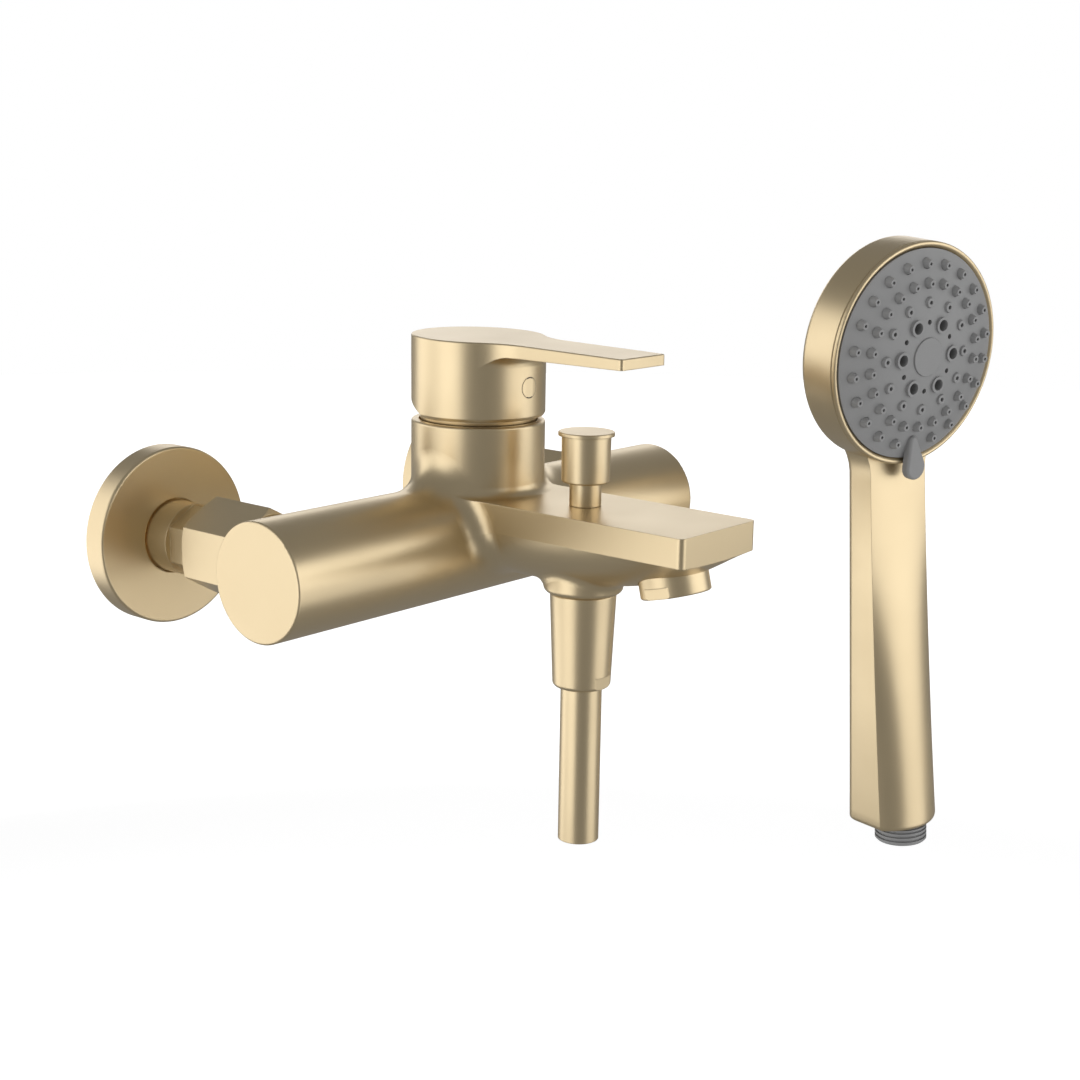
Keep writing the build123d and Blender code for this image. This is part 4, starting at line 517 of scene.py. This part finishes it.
class BATHMIXER_OT_stage(bpy.types.Operator):
    """Sets up the camera, the soft boxes, the grey tent, the pale floor and the white beyond it"""

    bl_idname = "bathmixer.stage"
    bl_label = "Camera, lamps and floor"

    def execute(self, context):
        studio = context.scene.mixer_studio
        context.scene.view_settings.view_transform = "Standard"
        self.make_camera(context.scene, studio)
        self.make_boxes(studio)
        self.make_tent(studio)
        self.make_floor(studio)
        self.make_world(context.scene)
        return {"FINISHED"}

    def make_camera(self, scene, studio):
        """The camera, at the photograph's place and viewing angle."""
        lens = bpy.data.cameras.new("photo_camera")
        lens.lens = studio.lens
        lens.sensor_width = FILM_WIDTH
        lens.clip_start = NEAREST_SIGHT
        lens.clip_end = FARTHEST_SIGHT
        camera = add_object("photo_camera", lens)
        away = CAMERA_UP.cross(CAMERA_RIGHT).normalized()
        camera.matrix_world = placed(studio.camera_place, CAMERA_RIGHT, -away)
        scene.camera = camera

    def make_boxes(self, studio):
        """Soft boxes: bearing, elevation, seen width and seen height of each in degrees, and its radiance."""
        boxes = {
            "far_soft_box": (112, -4, 30, 70, studio.far_box),
            "left_soft_box": (139, -4, 24, 70, studio.side_box),
            "key_soft_box": (172, -4, 40, 70, studio.soft_box),
            "right_soft_box": (298, 9, 62, 40, studio.soft_box),
            "low_soft_box": (292, -25, 48, 24, studio.low_box),
            "rear_soft_box": (40, 15, 50, 16, studio.rear_box),
        }
        for name, (bearing, elevation, wide, tall, radiance) in boxes.items():
            lamp = bpy.data.lights.new(name, "AREA")
            lamp.shape = "RECTANGLE"
            lamp.size = 2 * BOX_DISTANCE * math.tan(math.radians(wide / 2))
            lamp.size_y = 2 * BOX_DISTANCE * math.tan(math.radians(tall / 2))
            lamp.energy = radiance * math.pi * lamp.size * lamp.size_y
            box = add_object(name, lamp)
            turn = math.radians(bearing)
            rise = math.radians(elevation)
            toward = Vector((
                math.cos(turn) * math.cos(rise), math.sin(turn) * math.cos(rise), math.sin(rise),
            ))
            box.location = SET_MIDDLE + toward * BOX_DISTANCE
            box.rotation_euler = toward.to_track_quat("Z", "Y").to_euler()
            box.visible_camera = False

    def make_tent(self, studio):
        """A grey tent round the set, which the camera looks through and which casts no shadow."""
        # Plain tent cloth: an even glow, dimmer where metal mirrors it than where it fills matt surfaces
        material, tree = new_material("grey_tent_cloth")
        path = node(tree, "ShaderNodeLightPath").outputs["Is Diffuse Ray"]
        level = node(tree, "ShaderNodeMapRange", {}, {
            "Value": path, "To Min": studio.tent_grey, "To Max": studio.tent_fill,
        })
        glow = node(tree, "ShaderNodeEmission", {}, {"Strength": level.outputs["Result"]})
        finish_surface(tree, glow.outputs["Emission"])
        tent_foot = FLOOR_LEVEL + TENT_GAP
        middle = Vector((SET_MIDDLE.x, SET_MIDDLE.y, (TENT_TOP + tent_foot) / 2))

        def build(shape):
            bmesh.ops.create_cone(
                shape, cap_ends=True, segments=TENT_SIDES, radius1=TENT_RADIUS, radius2=TENT_RADIUS,
                depth=TENT_TOP - tent_foot, matrix=Matrix.Translation(middle),
            )

        tent = add_object("grey_tent", mesh_of("grey_tent", build))
        tent.data.materials.append(material)
        tent.visible_camera = False
        tent.visible_shadow = False

    def make_floor(self, studio):
        """A pale floor under the tent."""
        # Matt white paper, with a glow for the camera and for mirrors that keeps it white in the picture
        material, tree = new_material("white_floor_paper")
        paths = node(tree, "ShaderNodeLightPath").outputs
        seen = node(tree, "ShaderNodeMath", {"operation": "MAXIMUM"}, {
            0: paths["Is Camera Ray"], 1: paths["Is Glossy Ray"],
        })
        seen = node(tree, "ShaderNodeMath", {"operation": "MAXIMUM"}, {
            0: seen.outputs["Value"], 1: paths["Is Transmission Ray"],
        })
        level = node(tree, "ShaderNodeMath", {"operation": "MULTIPLY"}, {
            0: seen.outputs["Value"], 1: studio.floor_glow,
        })
        paper = node(tree, "ShaderNodeBsdfDiffuse", {}, {"Color": linear("#F4F4F4")})
        glow = node(tree, "ShaderNodeEmission", {}, {"Strength": level.outputs["Value"]})
        both = node(tree, "ShaderNodeAddShader", {}, {0: paper.outputs["BSDF"], 1: glow.outputs["Emission"]})
        finish_surface(tree, both.outputs["Shader"])
        place = Matrix.Translation((SET_MIDDLE.x, SET_MIDDLE.y, FLOOR_LEVEL))

        def build(shape):
            bmesh.ops.create_circle(
                shape, cap_ends=True, segments=FLOOR_SIDES, radius=FLOOR_RADIUS, matrix=place,
            )

        floor = add_object("white_floor", mesh_of("white_floor", build))
        floor.data.materials.append(material)

    def make_world(self, scene):
        """Plain white all round, which the camera sees past the floor's edge."""
        world = bpy.data.worlds.new("white_studio")
        world.use_nodes = True
        tree = world.node_tree
        tree.nodes.clear()
        sky = node(tree, "ShaderNodeBackground", {}, {"Color": linear("#FFFFFF"), "Strength": 1.0})
        node(tree, "ShaderNodeOutputWorld", {}, {"Surface": sky.outputs["Background"]})
        scene.world = world


class BATHMIXER_OT_gold(bpy.types.Operator):
    """Gives the mixer, its unions, its handle and its hose their satin gold finish"""

    bl_idname = "bathmixer.gold"
    bl_label = "Satin gold pieces"

    def execute(self, context):
        finish = context.scene.mixer_finish
        # Blasted and coated brass: broad soft highlights on a warm pale gold
        metal = satin_gold("satin_gold_brass", finish)
        dress(
            metal, "mixer_body", "rosette_left", "rosette_right", "s_union_left", "s_union_right",
            "union_nut_left", "union_nut_right", "cover_dome", "handle_lever", "index_plug",
            "diverter_knob", "hose_nut", "aerator_housing",
        )
        # Hose with a satin gold skin: the same colour and gloss as the metal
        hose = satin_gold("satin_gold_hose", finish)
        dress(hose, "hose")
        return {"FINISHED"}


class BATHMIXER_OT_spray(bpy.types.Operator):
    """Finishes the hand shower's grey face, its nozzles and its threaded end"""

    bl_idname = "bathmixer.spray"
    bl_label = "Spray face and connector"

    def execute(self, context):
        finish = context.scene.mixer_finish
        # Spark-textured grey ABS: an even matt grey with wide pale highlights
        face = moulded_plastic("grey_abs_face", (finish.grey,), roughness=0.42, spark_mm=0.4)
        dress(face, "spray_face", "centre_cap", "inlet_connector", "aerator_insert")
        # Moulded silicone: slightly lighter and duller than the face round it
        silicone = moulded_plastic("grey_silicone_nozzle", (finish.nozzle,), roughness=0.55, spark_mm=0.3)
        dress(silicone, "nozzle_mat")
        return {"FINISHED"}


class BATHMIXER_OT_shell(bpy.types.Operator):
    """Makes the hand shower's shell: the round head and the grip, flat-sided with a swelling front"""

    bl_idname = "bathmixer.shell"
    bl_label = "Hand shower shell"

    def execute(self, context):
        # Plated and coated ABS: the same satin gold as the brass
        plated = satin_gold("satin_gold_abs", context.scene.mixer_finish)
        dress(plated, "handset_shell")
        shell = add_piece("handset_skin", build_drum, plated, "handset", "gold_plastic", "handset_shell")
        join_solid(shell, "grip", build_grip, "UNION")
        join_solid(shell, "cavity", build_cavity, "DIFFERENCE")
        smooth_round(shell)
        return {"FINISHED"}


class BATHMIXER_OT_rim(bpy.types.Operator):
    """Makes the spray head's rounded rim, which is dished towards the face"""

    bl_idname = "bathmixer.rim"
    bl_label = "Rim of the spray head"

    def execute(self, context):
        # Plated and coated ABS: a bright thin line of satin gold round the grey face
        plated = satin_gold("satin_gold_rim", context.scene.mixer_finish)
        dress(plated, "rim_ring")
        add_piece("rim_bead", build_rim, plated, "spray", "gold_plastic", "rim_ring")
        return {"FINISHED"}


class BATHMIXER_OT_index(bpy.types.Operator):
    """Makes the fine dark ring round the plain index plug on the cap's front, a painted shade for the gap
    between plug and cap
    """

    bl_idname = "bathmixer.index"
    bl_label = "Index ring"

    def execute(self, context):
        # Painted shade: a dull bronze grey ring for the shaded gap round the plug, a thin dark line in the
        # gold
        dark = moulded_plastic("painted_gap_shade", ("#6A5F4C", "#62584A"), roughness=0.45, spark_mm=0.3)
        add_piece("index_ring", build_index_ring, dark, "lever", "grey_plastic")
        return {"FINISHED"}


class BATHMIXER_OT_inner(bpy.types.Operator):
    """Finishes the cartridge, the diverter, the seals and the other inner pieces"""

    bl_idname = "bathmixer.inner"
    bl_label = "Inner pieces"

    def execute(self, context):
        # Turned brass: yellow, with tool marks round it
        brass = turned_metal("turned_brass", ("#D9B567", "#CFA957"), roughness=0.3, marks_mm=BRASS_MARKS)
        dress(
            brass, "lever_spindle", "cartridge_clamp_nut", "diverter_spindle", "shower_outlet_nipple",
            "hose_ferrule",
        )
        # Drawn stainless steel: neutral grey and a little glossier
        steel = turned_metal("stainless_steel", ("#C9CAC8", "#BDBEBC"), roughness=0.28, marks_mm=STEEL_MARKS)
        dress(
            steel, "pivot_pin", "handle_set_screw", "connector_strainer", "detent_ball", "detent_spring",
            "face_screw",
        )
        # Lapped alumina ceramic: ivory white and nearly mirror smooth
        ceramic = moulded_plastic(
            "lapped_alumina", ("#F0EDE4", "#ECE8DD"), roughness=0.15, spark_mm=0.2, relief=0.05,
        )
        dress(ceramic, "fixed_ceramic_disc", "moving_ceramic_disc")
        # Moulded acetal: milky white with a waxy gloss
        white = moulded_plastic("white_pom", ("#E4E4DF", "#DFDFD8"), roughness=0.4, spark_mm=0.5)
        dress(
            white, "inlet_strainer_left", "inlet_strainer_right", "cartridge_base", "disc_carrier",
            "cartridge_housing", "cartridge_sleeve", "diverter_bush", "check_valve", "water_tube",
            "inner_plate", "spray_body",
        )
        # Moulded rubber: dull near-black
        rubber = moulded_plastic("black_epdm_rubber", ("#1C1C1C", "#202020"), roughness=0.6, spark_mm=0.3)
        dress(
            rubber, "inlet_washer_left", "inlet_washer_right", "cartridge_port_seal",
            "diverter_upper_seal", "diverter_lower_seal", "diverter_rod_seal", "hose_washer",
            "aerator_washer", "port_seal", "face_seal",
        )
        return {"FINISHED"}


class BATHMIXER_PT_panel(bpy.types.Panel):
    """Lists the steps that finish the bath mixer"""

    bl_idname = "BATHMIXER_PT_panel"
    bl_label = "Bath mixer"
    bl_space_type = "VIEW_3D"
    bl_region_type = "UI"
    bl_category = "Bath mixer"

    def draw(self, context):
        for group in (context.scene.mixer_finish, context.scene.mixer_studio):
            for name in group.__annotations__:
                self.layout.prop(group, name)
        for step in STEPS:
            self.layout.operator(step.bl_idname)


STEPS = (
    BATHMIXER_OT_stage, BATHMIXER_OT_gold, BATHMIXER_OT_spray, BATHMIXER_OT_shell, BATHMIXER_OT_rim,
    BATHMIXER_OT_index, BATHMIXER_OT_inner,
)
CLASSES = (MixerFinish, MixerStudio) + STEPS + (BATHMIXER_PT_panel,)


def register():
    for each in CLASSES:
        bpy.utils.register_class(each)
    bpy.types.Scene.mixer_finish = PointerProperty(type=MixerFinish)
    bpy.types.Scene.mixer_studio = PointerProperty(type=MixerStudio)


def unregister():
    del bpy.types.Scene.mixer_studio
    del bpy.types.Scene.mixer_finish
    for each in reversed(CLASSES):
        bpy.utils.unregister_class(each)


def main():
    register()
    bpy.ops.bathmixer.stage()
    bpy.ops.bathmixer.gold()
    bpy.ops.bathmixer.spray()
    bpy.ops.bathmixer.shell()
    bpy.ops.bathmixer.rim()
    bpy.ops.bathmixer.index()
    bpy.ops.bathmixer.inner()


if __name__ == "__main__":
    main()
